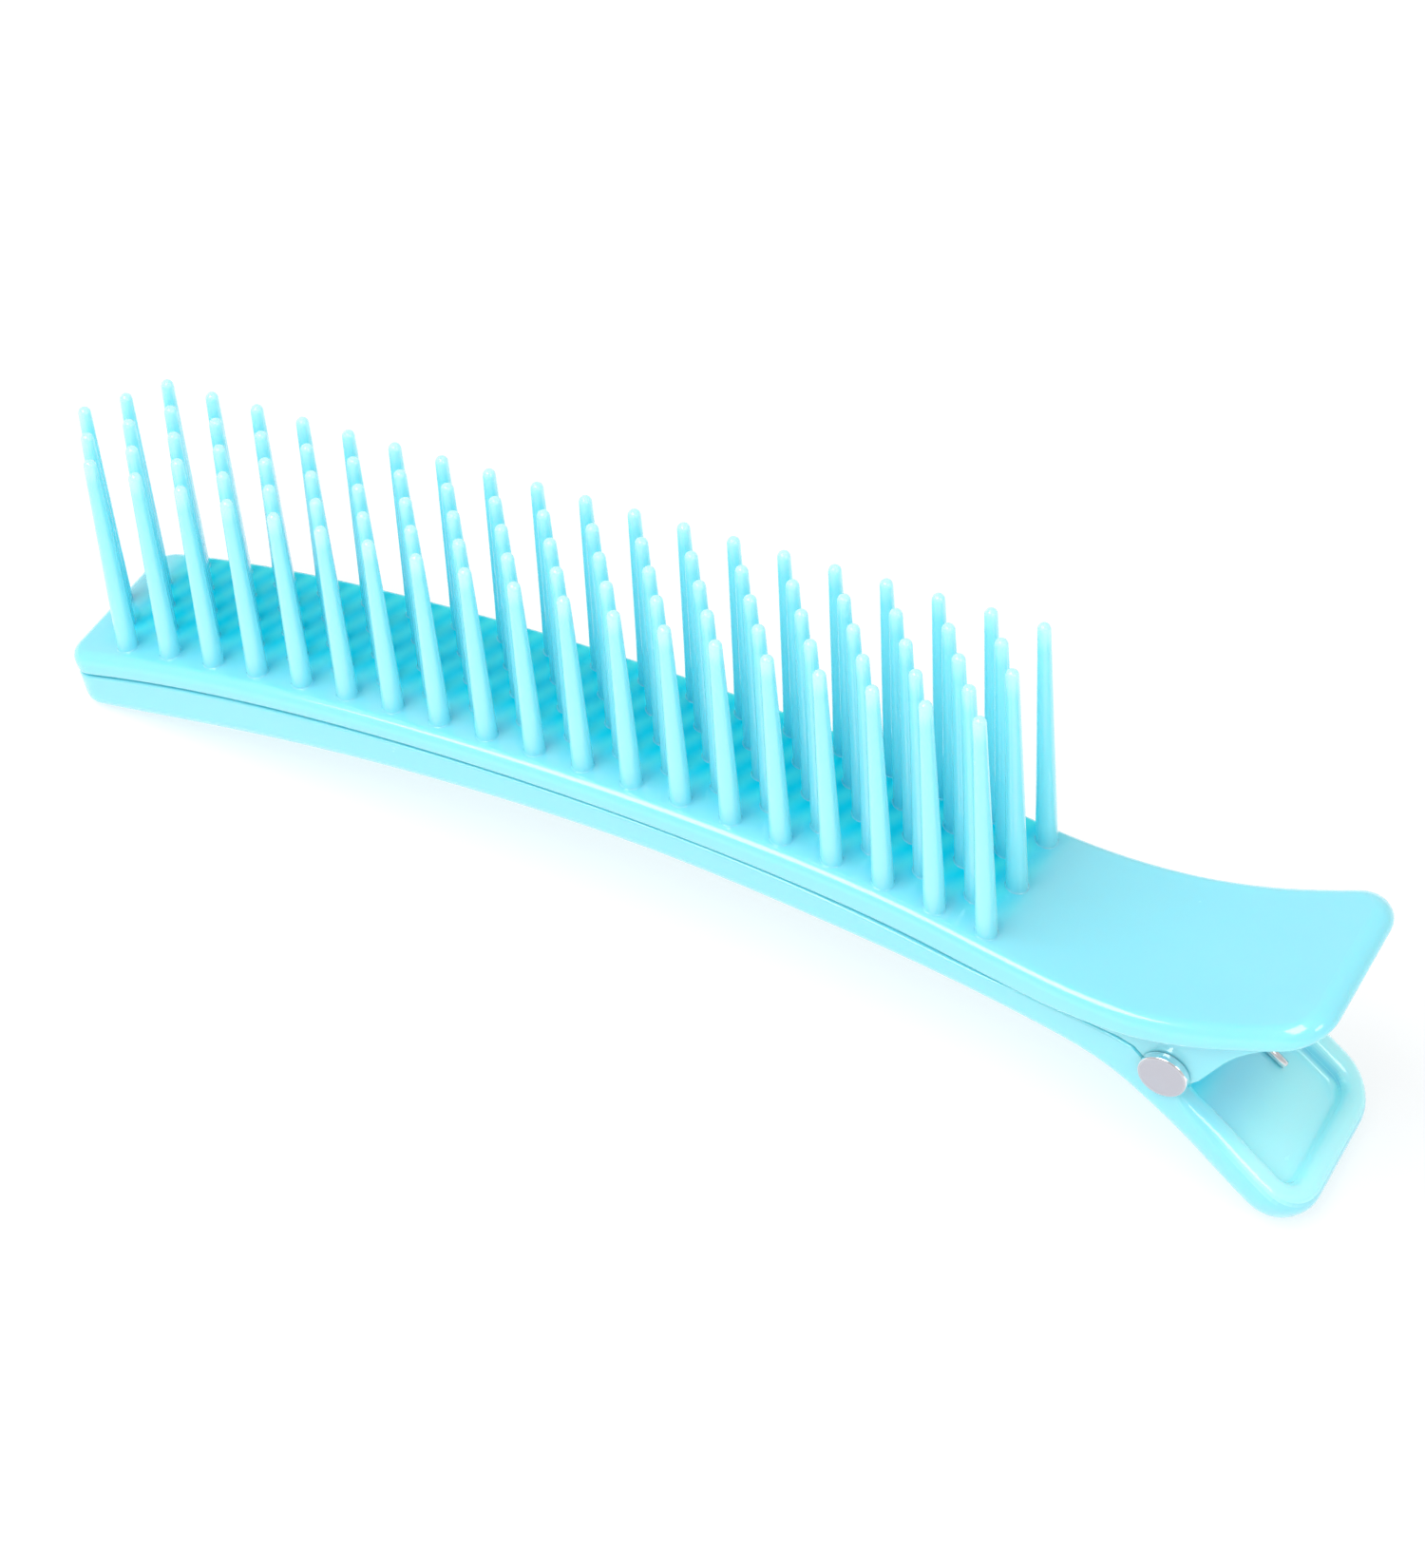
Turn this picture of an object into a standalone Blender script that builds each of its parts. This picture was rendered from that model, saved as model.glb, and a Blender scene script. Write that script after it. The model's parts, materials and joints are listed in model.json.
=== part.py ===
"""Comb sectioning clip: a hairdresser's spring clip with a comb moulded on its upper jaw.

Side view, in millimetres from the pivot: +X runs towards the levers, +Y across the clip and
+Z towards the comb's tips. The finished clip then lies on its jaw tip and its lower lever's end.
"""

import math

import bmesh
import bpy
import numpy as np
from mathutils import Vector

MM = 0.001

# Comb: staggered rows of round, tapered teeth
TOOTH_PITCH = 4.8
FIRST_TOOTH_X = -103.2
ROW_PITCH = 3.0
ROWS = ((2, 0, 18), (1, -0.5, 17.5), (0, -1, 18), (-1, -0.5, 17.5), (-2, 0, 18))
TOOTH_BASE_RADIUS = 0.97
TOOTH_TIP_RADIUS = 0.58
TOOTH_SIDES = 8
COMB_MIDDLE_X = -60.0
COMB_HALF_LENGTH = 43.2
TIP_LINE_HEIGHT = 30.4
TIP_LINE_RISE = 0.85
TIPS_LEAN_IN = 0.5
FEET_SHIFT = 0.1
FEET_LEAN_IN = 0.4
TIP_ROW_PITCH = 3.08
ROOT_DEPTH = 0.6

# Comb arm: upper jaw and upper lever in one moulding
COMB_ARM_TOP = (
    (-108.8, 6.55), (-103.2, 7.8), (-81.6, 10.7), (-60.0, 11.5), (-38.4, 10.6), (-24.0, 8.6),
    (-16.8, 7.1), (-12.0, 6.3), (-7.2, 5.9), (-2.4, 6.1), (2.4, 7.15), (7.2, 8.8), (13.2, 11.4),
)
COMB_ARM_HALF_WIDTH = (
    (-108.8, 8.3), (-60.0, 8.3), (-32.0, 8.05), (-18.0, 8.05), (-12.0, 8.4), (-2.4, 9.2),
    (2.4, 9.45), (8.0, 9.5), (13.2, 9.4),
)
COMB_ARM_THICKNESS = (
    (-108.8, 2.3), (-84.0, 2.1), (-55.0, 2.25), (-37.0, 2.65), (-24.0, 2.95), (-12.0, 2.9),
    (-4.0, 2.6), (3.0, 2.2), (13.2, 2.1),
)
COMB_ARM_TOP_FILLET = 1.1
LEVER_TOP_FILLET = 1.4
COMB_ARM_EDGE_FILLET = 0.6
TIP_CORNER_RADIUS = 2.4
UPPER_LEVER_CORNER_RADIUS = 4.0
UNDERSIDE_RECESS = 0.6
JAW_WALL = 1.75
RECESS_END_X = -16.0
SKIRT_START_X = -14.0
SKIRT_EDGE = ((-7.7, 2.6), (-4.3, 2.05), (-2.9, 1.5))

# Lower arm: lower jaw and dished lower lever in one moulding
LOWER_ARM_BOTTOM = (
    (-107.8, 0.6), (-100.9, 1.7), (-90.3, 3.4), (-75.0, 5.1), (-60.5, 5.7), (-46.5, 5.2),
    (-33.0, 3.6), (-19.6, 1.45), (-10.9, -0.6), (-6.6, -2.0), (-2.5, -4.2), (2.0, -7.6),
    (6.3, -11.45), (10.85, -15.5),
)
LOWER_ARM_HALF_WIDTH = (
    (-107.8, 8.2), (-60.0, 8.2), (-32.0, 8.0), (-12.0, 8.05), (-4.0, 8.25), (1.0, 8.8),
    (5.0, 9.15), (10.85, 9.15),
)
LEVER_START_X = -1.0
LEVER_RIM_HEIGHT = 3.75
LEVER_RIM_WIDTH = 2.7
LEVER_FLOOR = 2.05
LEVER_RIM_FILLET = 1.35
LOWER_LEVER_CORNER_RADIUS = 4.6
JAW_FLOOR = 1.6
LOWER_EDGE_FILLET = 1.4
LEVER_EDGE_FILLET = 1.9
RIM_FILLET = 0.4
JAW_GAP = 0.3
SEAM_STEPS = 8
FIRST_RIB_X = -98.0
RIB_PITCH = 9.6
RIB_COUNT = 9
RIB_THICKNESS = 1.1
RIB_BELOW_RIM = 0.5

# Pivot: ears outside, cheeks inside, one rivet through both, a torsion spring round it
SIDE_PLANE = 8.1
EAR_THICKNESS = 1.35
EAR_RADIUS = 2.45
EAR_CLEARANCE = 0.3
EAR_REAR_ANGLE = math.radians(53.6)
EAR_TURNS_BY = math.radians(44.0)
CHEEK_OUTER = SIDE_PLANE - EAR_THICKNESS - EAR_CLEARANCE
CHEEK_INNER = 4.95
CHEEK_RADIUS = 2.5
SHANK_RADIUS = 1.0
RUNNING_CLEARANCE = 0.08
HEAD_RADIUS = 2.2
HEAD_HEIGHT = 0.85
HEAD_SEAT_GAP = 0.05
CAP_SOCKET_DEPTH = 0.45
BEYOND_SIDES = 12.0
WIRE_DIAMETER = 0.8
COIL_RADIUS = 1.75
COIL_TURNS = 6
COIL_HALF_LENGTH = 3.5
LOWER_LEG_LENGTH = 9.9
UPPER_LEG_LENGTH = 9.6
LOWER_LEG_ANGLE = math.radians(-42.2)
UPPER_LEG_ANGLE = math.radians(28.0)

PLASTIC = (0.30, 0.83, 0.93)


# ---------------------------------------------------------------- lines and outlines

def natural_cubic(x, y, at):
    """Values at `at` of the natural cubic spline through the points (x, y)."""
    x, y, at = (np.asarray(values, float) for values in (x, y, at))
    gap = np.diff(x)
    system = np.eye(len(x))
    right = np.zeros(len(x))
    for i in range(1, len(x) - 1):
        system[i, i - 1 : i + 2] = gap[i - 1], 2 * (gap[i - 1] + gap[i]), gap[i]
        right[i] = 6 * ((y[i + 1] - y[i]) / gap[i] - (y[i] - y[i - 1]) / gap[i - 1])
    bend = np.linalg.solve(system, right)
    i = np.clip(np.searchsorted(x, at) - 1, 0, len(gap) - 1)
    before, after, width = at - x[i], x[i + 1] - at, gap[i]
    return (
        (bend[i] * after**3 + bend[i + 1] * before**3) / (6 * width)
        + (y[i] / width - bend[i] * width / 6) * after
        + (y[i + 1] / width - bend[i + 1] * width / 6) * before
    )


class SideLine:
    """A smooth line in the side view, measured by its length s from the jaw tip."""

    def __init__(self, points):
        x, z = np.transpose(points)
        self.x = np.linspace(x[0], x[-1], 1500)
        self.z = natural_cubic(x, z, self.x)
        self.slope = np.gradient(self.z, self.x)
        steps = np.hypot(np.diff(self.x), np.diff(self.z))
        self.s = np.concatenate([[0.0], np.cumsum(steps)])

    def length(self):
        return self.s[-1]

    def s_at(self, x):
        return float(np.interp(x, self.x, self.s))

    def x_at(self, s):
        return float(np.interp(s, self.s, self.x))

    def height(self, x):
        return float(np.interp(x, self.x, self.z))

    def point(self, s, rise):
        """(x, z) of the point `rise` above the line, square to it."""
        x, z, slope = (np.interp(s, self.s, values) for values in (self.x, self.z, self.slope))
        size = math.hypot(1.0, slope)
        return float(x - rise * slope / size), float(z + rise / size)


def along(points):
    """A smooth measure that varies with x, as a function."""
    x, y = np.transpose(points)
    return lambda at: float(natural_cubic(x, y, [min(max(at, x[0]), x[-1])])[0])


def ramp(at, start, end):
    """0 before start, 1 after end, eased between them."""
    t = min(max((at - start) / (end - start), 0.0), 1.0)
    return t * t * (3 - 2 * t)


def plan_outline(line, half_width, tip_radius, end_radius, corner_steps):
    """Half of an arm's plan: (s, y, normal s, normal y) from the middle of one end to the other."""
    length = line.length()
    spots = []
    for i in range(corner_steps + 1):
        angle = 0.5 * math.pi * i / corner_steps
        y = half_width(line.x_at(tip_radius)) - tip_radius * (1 - math.sin(angle))
        spots.append((tip_radius * (1 - math.cos(angle)), y, -math.cos(angle), math.sin(angle)))
    for s in side_stations(line, tip_radius, length - end_radius):
        slope = (half_width(line.x_at(s + 0.1)) - half_width(line.x_at(s - 0.1))) / 0.2
        size = math.hypot(slope, 1.0)
        spots.append((s, half_width(line.x_at(s)), -slope / size, 1.0 / size))
    for i in range(corner_steps + 1):
        angle = 0.5 * math.pi * (1 - i / corner_steps)
        y = half_width(line.x_at(length - end_radius)) - end_radius * (1 - math.sin(angle))
        s = length - end_radius * (1 - math.cos(angle))
        spots.append((s, y, math.cos(angle), math.sin(angle)))
    return spots


def side_stations(line, first, last):
    """Lengths between the two corners, closer together where the arm bends most."""
    bend_starts = line.s_at(-20.0)
    coarse = np.arange(first + 3.0, bend_starts, 4.4)
    fine = np.arange(bend_starts, last - 0.8, 1.7)
    return [*coarse, *fine]


# ---------------------------------------------------------------- solids

def new_solid(name, points, faces):
    """An object from points in millimetres, its faces turned outwards."""
    mesh = bpy.data.meshes.new(name)
    mesh.from_pydata([Vector(point) * MM for point in points], [], faces)
    shape = bmesh.new()
    shape.from_mesh(mesh)
    bmesh.ops.recalc_face_normals(shape, faces=shape.faces)
    shape.to_mesh(mesh)
    shape.free()
    solid = bpy.data.objects.new(name, mesh)
    bpy.context.collection.objects.link(solid)
    return solid


def combine(solid, tool, operation):
    """Cuts `tool` from `solid`, or joins it on, and removes it."""
    modifier = solid.modifiers.new(tool.name, "BOOLEAN")
    modifier.operation = operation
    modifier.solver = "EXACT"
    modifier.object = tool
    graph = bpy.context.evaluated_depsgraph_get()
    result = bpy.data.meshes.new_from_object(solid.evaluated_get(graph))
    solid.modifiers.clear()
    solid.data = result
    bpy.data.objects.remove(tool)


def ringed_slab(name, line, outline, rings):
    """A closed slab along `line`: rings are (inset, rise) functions of x, from one cap to the other."""
    points, faces = [], []
    for inset, rise in rings:
        half = []
        for s, y, normal_s, normal_y in outline:
            x = line.x_at(s)
            shift = inset(x)
            spot = line.point(s - shift * normal_s, rise(x))
            half.append((spot[0], y - shift * normal_y, spot[1]))
        points += half + [(x, -y, z) for x, y, z in reversed(half)]
    count = 2 * len(outline)
    for ring in range(len(rings) - 1):
        for i in range(count):
            j = (i + 1) % count
            low, high = ring * count, (ring + 1) * count
            faces.append((low + i, low + j, high + j, high + i))
    for base in (0, (len(rings) - 1) * count):
        for i in range(len(outline) - 1):
            faces.append((base + i, base + i + 1, base + count - 2 - i, base + count - 1 - i))
    return new_solid(name, points, faces)


def fillet_rings(radius, turn_from, turn_to, steps, level=None):
    """Rings round an outer fillet; angles run from outwards (0) to upwards (a quarter turn).

    `level` is the height of the fillet's centre, which is the radius itself by default.
    """
    level = level or radius
    rings = []
    for i in range(steps + 1):
        angle = turn_from + (turn_to - turn_from) * i / steps
        out, up = math.cos(angle), math.sin(angle)
        inset = lambda x, out=out: radius(x) * (1 - out)
        rise = lambda x, up=up: level(x) + radius(x) * up
        rings.append((inset, rise))
    return rings


def extruded(name, outline, y_from, y_to):
    """A plate whose side view is `outline`, between two planes across the clip."""
    count = len(outline)
    points = [(x, y, z) for y in (y_from, y_to) for x, z in outline]
    faces = [tuple(range(count)), tuple(range(count, 2 * count))]
    for i in range(count):
        j = (i + 1) % count
        faces.append((i, j, count + j, count + i))
    return new_solid(name, points, faces)


def drum(name, radius, y_from, y_to, sides=40):
    """A straight round bar on the pivot axis."""
    turns = [2 * math.pi * i / sides for i in range(sides)]
    circle = [(radius * math.cos(turn), radius * math.sin(turn)) for turn in turns]
    return extruded(name, circle, y_from, y_to)


def turned(name, profile, sides):
    """A body turned about the pivot axis; profile is (y, radius) from end to end."""
    points, faces = [], []
    for y, radius in profile:
        for i in range(sides):
            turn = 2 * math.pi * i / sides
            points.append((radius * math.cos(turn), y, radius * math.sin(turn)))
    for ring in range(len(profile) - 1):
        for i in range(sides):
            j = (i + 1) % sides
            a, b = ring * sides, (ring + 1) * sides
            faces.append((a + i, a + j, b + j, b + i))
    last = (len(profile) - 1) * sides
    faces += [tuple(range(sides)), tuple(range(last, last + sides))]
    return new_solid(name, points, faces)


def finish(solid, colour, roughness, metallic, sharp_degrees=35.0):
    """Gives a solid its own material and smooth shading."""
    material = bpy.data.materials.new(solid.name)
    material.use_nodes = True
    shader = material.node_tree.nodes["Principled BSDF"]
    shader.inputs["Base Color"].default_value = (*colour, 1.0)
    shader.inputs["Roughness"].default_value = roughness
    shader.inputs["Metallic"].default_value = metallic
    solid.data.materials.clear()
    solid.data.materials.append(material)
    if solid.type == "MESH":
        solid.data.shade_smooth()
        solid.data.set_sharp_from_angle(angle=math.radians(sharp_degrees))
    return solid


# ---------------------------------------------------------------- comb arm

def comb_position(x):
    """-1 at the first full row of teeth, 0 at the comb's middle, 1 at the last."""
    return (x - COMB_MIDDLE_X) / COMB_HALF_LENGTH


def tooth(base, tip):
    """Points and faces of one tapered tooth with a domed tip."""
    base, tip = Vector(base), Vector(tip)
    lean = (tip - base).normalized()
    across = lean.orthogonal().normalized()
    along_row = lean.cross(across)
    dome = TOOTH_TIP_RADIUS
    rings = (
        (0.0, TOOTH_BASE_RADIUS),
        ((tip - base).length - dome, dome),
        ((tip - base).length - 0.3 * dome, 0.72 * dome),
    )
    points = []
    for height, radius in rings:
        for i in range(TOOTH_SIDES):
            turn = 2 * math.pi * i / TOOTH_SIDES
            side = across * math.cos(turn) + along_row * math.sin(turn)
            points.append(base + lean * height + side * radius)
    points.append(tip)
    faces = [tuple(reversed(range(TOOTH_SIDES)))]
    for ring in range(len(rings) - 1):
        for i in range(TOOTH_SIDES):
            j = (i + 1) % TOOTH_SIDES
            a, b = ring * TOOTH_SIDES, (ring + 1) * TOOTH_SIDES
            faces.append((a + i, a + j, b + j, b + i))
    top = (len(rings) - 1) * TOOTH_SIDES
    for i in range(TOOTH_SIDES):
        faces.append((top + i, top + (i + 1) % TOOTH_SIDES, len(points) - 1))
    return points, faces


def comb_teeth(top):
    """All the teeth as one set of closed bodies, rooted inside the plate."""
    points, faces = [], []
    for row, first, last in ROWS:
        for step in np.arange(first, last + 0.5, 1.0):
            x = FIRST_TOOTH_X + TOOTH_PITCH * step
            place = comb_position(x)
            tip_x = x - TIPS_LEAN_IN * place
            tip_z = TIP_LINE_HEIGHT + TIP_LINE_RISE * place
            foot_x = x + FEET_SHIFT - FEET_LEAN_IN * place
            base = (foot_x, row * ROW_PITCH, top.height(foot_x) - ROOT_DEPTH)
            new_points, new_faces = tooth(base, (tip_x, row * TIP_ROW_PITCH, tip_z))
            faces += [tuple(len(points) + i for i in face) for face in new_faces]
            points += new_points
    return new_solid("teeth", points, faces)


def arc(radius, angle_from, angle_to, steps):
    """Points round the pivot, at equal turns."""
    turns = [angle_from + (angle_to - angle_from) * i / steps for i in range(steps + 1)]
    return [(radius * math.cos(turn), radius * math.sin(turn)) for turn in turns]


def ear_outline(top, thickness):
    """Side view of an ear: a skirt that deepens towards the pivot, and a tongue round the rivet."""
    lift = 1.0
    rear = EAR_REAR_ANGLE - 0.5 * math.pi
    tongue = arc(EAR_RADIUS, math.radians(165), math.radians(360) + rear, 16)
    start = SKIRT_START_X
    skirt = [(start, top.height(start) - thickness(start)), *SKIRT_EDGE]
    rear_edge = [(2.92, -0.15), (3.9, 1.25), (5.3, 3.2), (7.7, 5.35), (10.2, 7.05), (12.2, 8.75)]
    hidden = [(x, top.height(x) - lift) for x in (12.2, 9.0, 6.0, 2.0, -3.0, -8.0, start)]
    return skirt + tongue + rear_edge + hidden


def build_comb_arm():
    """Upper jaw, teeth, upper lever and ears as one body."""
    top = SideLine(COMB_ARM_TOP)
    half_width, thickness = along(COMB_ARM_HALF_WIDTH), along(COMB_ARM_THICKNESS)
    outline = plan_outline(top, half_width, TIP_CORNER_RADIUS, UPPER_LEVER_CORNER_RADIUS, 4)
    lower = COMB_ARM_EDGE_FILLET

    def upper(x):
        return COMB_ARM_TOP_FILLET + (LEVER_TOP_FILLET - COMB_ARM_TOP_FILLET) * ramp(x, -4.0, 4.0)

    def recess(x):
        return UNDERSIDE_RECESS * (1 - ramp(x, RECESS_END_X - 3.0, RECESS_END_X))

    quarter = 0.5 * math.pi
    rings = fillet_rings(upper, quarter, 0.0, 3, lambda x: -upper(x))
    rings += fillet_rings(lambda x: lower, 0.0, -quarter, 2, lambda x: lower - thickness(x))
    rings.append((lambda x: JAW_WALL, lambda x: -thickness(x)))
    rings.append((lambda x: JAW_WALL + 0.1, lambda x: recess(x) - thickness(x)))
    arm = ringed_slab("comb_arm", top, outline, rings)
    for side in (-1, 1):
        planes = sorted((side * SIDE_PLANE, side * (SIDE_PLANE - EAR_THICKNESS)))
        combine(arm, extruded("ear", ear_outline(top, thickness), *planes), "UNION")
    combine(arm, comb_teeth(top), "UNION")
    bore = drum("bore", SHANK_RADIUS + RUNNING_CLEARANCE, -BEYOND_SIDES, BEYOND_SIDES)
    combine(arm, bore, "DIFFERENCE")
    return finish(arm, PLASTIC, 0.25, 0.0)


# ---------------------------------------------------------------- lower arm

def seam_height(top, thickness, x):
    """Height of the comb arm's lower edge at the clip's side."""
    start = SKIRT_START_X
    if x > start:
        edge = ((start, top.height(start) - thickness(start)), *SKIRT_EDGE)
        return float(np.interp(x, *np.transpose(edge)))
    s = top.s_at(x)
    edge_x, edge_z = top.point(s, -thickness(x))
    return edge_z + (x - edge_x) * float(np.interp(s, top.s, top.slope))


def lower_arm_height(bottom, top, thickness):
    """Height of the lower arm's rim above its underside, along the arm."""

    def height(x):
        s = bottom.s_at(x)
        jaw = seam_height(top, thickness, x) - bottom.height(x)
        for _ in range(SEAM_STEPS):
            edge_x, edge_z = bottom.point(s, jaw)
            jaw += seam_height(top, thickness, edge_x) - JAW_GAP - edge_z
        lever = ramp(x, LEVER_START_X - 3.5, LEVER_START_X + 0.5)
        return jaw + (LEVER_RIM_HEIGHT - jaw) * lever

    return height


def build_lower_arm():
    """Lower jaw with its channel and ribs, cheeks and dished lever as one body."""
    top, bottom = SideLine(COMB_ARM_TOP), SideLine(LOWER_ARM_BOTTOM)
    half_width = along(LOWER_ARM_HALF_WIDTH)
    height = lower_arm_height(bottom, top, along(COMB_ARM_THICKNESS))
    outline = plan_outline(bottom, half_width, TIP_CORNER_RADIUS, LOWER_LEVER_CORNER_RADIUS, 4)

    def in_lever(x):
        return ramp(x, LEVER_START_X - 2.0, LEVER_START_X + 4.0)

    def wall(x):
        return JAW_WALL + (LEVER_RIM_WIDTH - JAW_WALL) * in_lever(x)

    def floor(x):
        return JAW_FLOOR + (LEVER_FLOOR - JAW_FLOOR) * in_lever(x)

    def rim(x):
        return RIM_FILLET + (LEVER_RIM_FILLET - RIM_FILLET) * in_lever(x)

    def edge(x):
        return LOWER_EDGE_FILLET + (LEVER_EDGE_FILLET - LOWER_EDGE_FILLET) * in_lever(x)

    rings = fillet_rings(edge, -0.5 * math.pi, 0.0, 3)
    rings += [
        (lambda x: 0.0, lambda x: height(x) - rim(x)),
        (lambda x: 0.3 * rim(x), lambda x: height(x) - 0.3 * rim(x)),
        (lambda x: rim(x), lambda x: height(x)),
        (lambda x: wall(x) - 0.6 * rim(x), lambda x: height(x)),
        (lambda x: wall(x), lambda x: height(x) - 0.6 * rim(x)),
        (lambda x: wall(x) + 0.2, lambda x: floor(x)),
    ]
    arm = ringed_slab("lower_arm", bottom, outline, rings)
    for i in range(RIB_COUNT):
        combine(arm, grip_rib(bottom, height, FIRST_RIB_X + RIB_PITCH * i), "UNION")
    for side in (-1, 1):
        cheek_planes = sorted((side * CHEEK_INNER, side * (CHEEK_OUTER + 0.6)))
        combine(arm, extruded("cheek", cheek_outline(), *cheek_planes), "UNION")
        ear_room = sorted((side * CHEEK_OUTER, side * BEYOND_SIDES))
        combine(arm, extruded("ear_room", ear_room_outline(), *ear_room), "DIFFERENCE")
    bore = drum("bore", SHANK_RADIUS + RUNNING_CLEARANCE, -BEYOND_SIDES, BEYOND_SIDES)
    combine(arm, bore, "DIFFERENCE")
    return finish(arm, PLASTIC, 0.25, 0.0)


def grip_rib(bottom, height, x):
    """A low wall across the lower jaw's channel, square to its floor."""
    s, half = bottom.s_at(x), RIB_THICKNESS / 2
    low, high = JAW_FLOOR - 0.3, height(x) - RIB_BELOW_RIM
    ends = ((-half, low), (half, low), (half, high), (-half, high))
    corners = [bottom.point(s + shift, rise) for shift, rise in ends]
    reach = SIDE_PLANE - JAW_WALL + 0.3
    return extruded("rib", corners, -reach, reach)


def cheek_outline():
    """Side view of an inner cheek: round over the pivot, and down into the lower arm's floor."""
    crown = arc(CHEEK_RADIUS, math.radians(-35), math.radians(190), 18)
    return crown + [(-4.6, -0.6), (-3.4, -2.6), (-0.6, -4.4), (0.9, -4.6), (1.6, -2.6)]


def ear_room_outline():
    """Side view of the space that the comb arm's ear turns in."""
    radius = EAR_RADIUS + EAR_CLEARANCE
    open_rear = EAR_REAR_ANGLE - EAR_TURNS_BY
    round_room = arc(radius, math.radians(163), math.radians(270) + open_rear, 16)
    edge_x, edge_z = round_room[-1]
    end_x = 6.4
    edge_end = (end_x, edge_z + (end_x - edge_x) * math.tan(open_rear))
    skirt_room = [(x - 0.12, z - JAW_GAP) for x, z in SKIRT_EDGE]
    return [*skirt_room, *round_room, edge_end, (end_x, 6.0), (skirt_room[0][0], 6.0)]


# ---------------------------------------------------------------- rivet, cap and spring

def build_rivet():
    """The rivet on the pivot axis: a flat head in front and a shank through both arms."""
    seat = -(SIDE_PLANE + HEAD_SEAT_GAP)
    face = seat - HEAD_HEIGHT
    shank_end = SIDE_PLANE + HEAD_SEAT_GAP + CAP_SOCKET_DEPTH - 0.1
    profile = (
        (face, HEAD_RADIUS - 0.75), (face + 0.12, HEAD_RADIUS - 0.25), (face + 0.4, HEAD_RADIUS),
        (seat - 0.15, HEAD_RADIUS), (seat, HEAD_RADIUS - 0.15), (seat, SHANK_RADIUS),
        (shank_end - 0.2, SHANK_RADIUS), (shank_end, SHANK_RADIUS - 0.2),
    )
    return finish(turned("pivot_rivet", profile, 32), (0.82, 0.80, 0.84), 0.2, 1.0)


def build_rivet_cap():
    """The cap that holds the shank's far end."""
    seat = SIDE_PLANE + HEAD_SEAT_GAP
    face = seat + HEAD_HEIGHT
    socket = SHANK_RADIUS + RUNNING_CLEARANCE
    profile = (
        (seat + CAP_SOCKET_DEPTH, socket), (seat, socket), (seat, HEAD_RADIUS - 0.15),
        (seat + 0.15, HEAD_RADIUS), (face - 0.4, HEAD_RADIUS), (face - 0.12, HEAD_RADIUS - 0.25),
        (face, HEAD_RADIUS - 0.75),
    )
    return finish(turned("rivet_cap", profile, 32), (0.82, 0.80, 0.84), 0.2, 1.0)


def spring_route():
    """Centre line of the torsion spring: lower leg, coil round the pivot, upper leg."""
    start = LOWER_LEG_ANGLE - 0.5 * math.pi
    end = UPPER_LEG_ANGLE + 0.5 * math.pi - 2 * math.pi * (COIL_TURNS + 1)
    steps = 16 * COIL_TURNS
    coil = []
    for i in range(steps + 1):
        turn = start + (end - start) * i / steps
        y = COIL_HALF_LENGTH * (1 - 2 * i / steps)
        coil.append((COIL_RADIUS * math.cos(turn), y, COIL_RADIUS * math.sin(turn)))
    low, high = coil[0], coil[-1]
    lower_tip = leg_end(low, LOWER_LEG_ANGLE, LOWER_LEG_LENGTH)
    upper_tip = leg_end(high, UPPER_LEG_ANGLE, UPPER_LEG_LENGTH)
    return [lower_tip, *coil, upper_tip]


def leg_end(start, angle, length):
    """End of a straight leg that leaves the coil at `start`."""
    return start[0] + length * math.cos(angle), start[1], start[2] + length * math.sin(angle)


def build_torsion_spring():
    """One wire swept along the spring's centre line."""
    curve = bpy.data.curves.new("torsion_spring", "CURVE")
    curve.dimensions = "3D"
    curve.bevel_depth = 0.5 * WIRE_DIAMETER * MM
    curve.bevel_resolution = 2
    curve.use_fill_caps = True
    route = spring_route()
    wire = curve.splines.new("POLY")
    wire.points.add(len(route) - 1)
    for point, spot in zip(wire.points, route):
        point.co = (*(Vector(spot) * MM), 1.0)
    spring = bpy.data.objects.new("torsion_spring", curve)
    bpy.context.collection.objects.link(spring)
    return finish(spring, (0.75, 0.76, 0.78), 0.25, 1.0)


# ---------------------------------------------------------------- the clip at rest

def lowest(solids, keep):
    """Lowest world point among those that `keep` chooses."""
    points = [solid.matrix_world @ vertex.co for solid in solids for vertex in solid.data.vertices]
    return min((point for point in points if keep(point)), key=lambda point: point.z)


def lay_down(clip, lower_arm):
    """Turns the clip about its pivot until jaw tip and lever end stand at one height."""
    for _ in range(6):
        bpy.context.view_layer.update()
        tip = lowest([lower_arm], lambda point: point.x < -50 * MM)
        lever = lowest([lower_arm], lambda point: point.x > -50 * MM)
        clip.rotation_euler.y -= math.atan2(tip.z - lever.z, lever.x - tip.x)


def stand_on_origin(clip, solids):
    """Moves the clip so that the middle of its box's base is the origin."""
    bpy.context.view_layer.update()
    points = [solid.matrix_world @ vertex.co for solid in solids for vertex in solid.data.vertices]
    low = [min(point[axis] for point in points) for axis in range(3)]
    high = [max(point[axis] for point in points) for axis in range(3)]
    clip.location = (-0.5 * (low[0] + high[0]), -0.5 * (low[1] + high[1]), -low[2])


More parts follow.
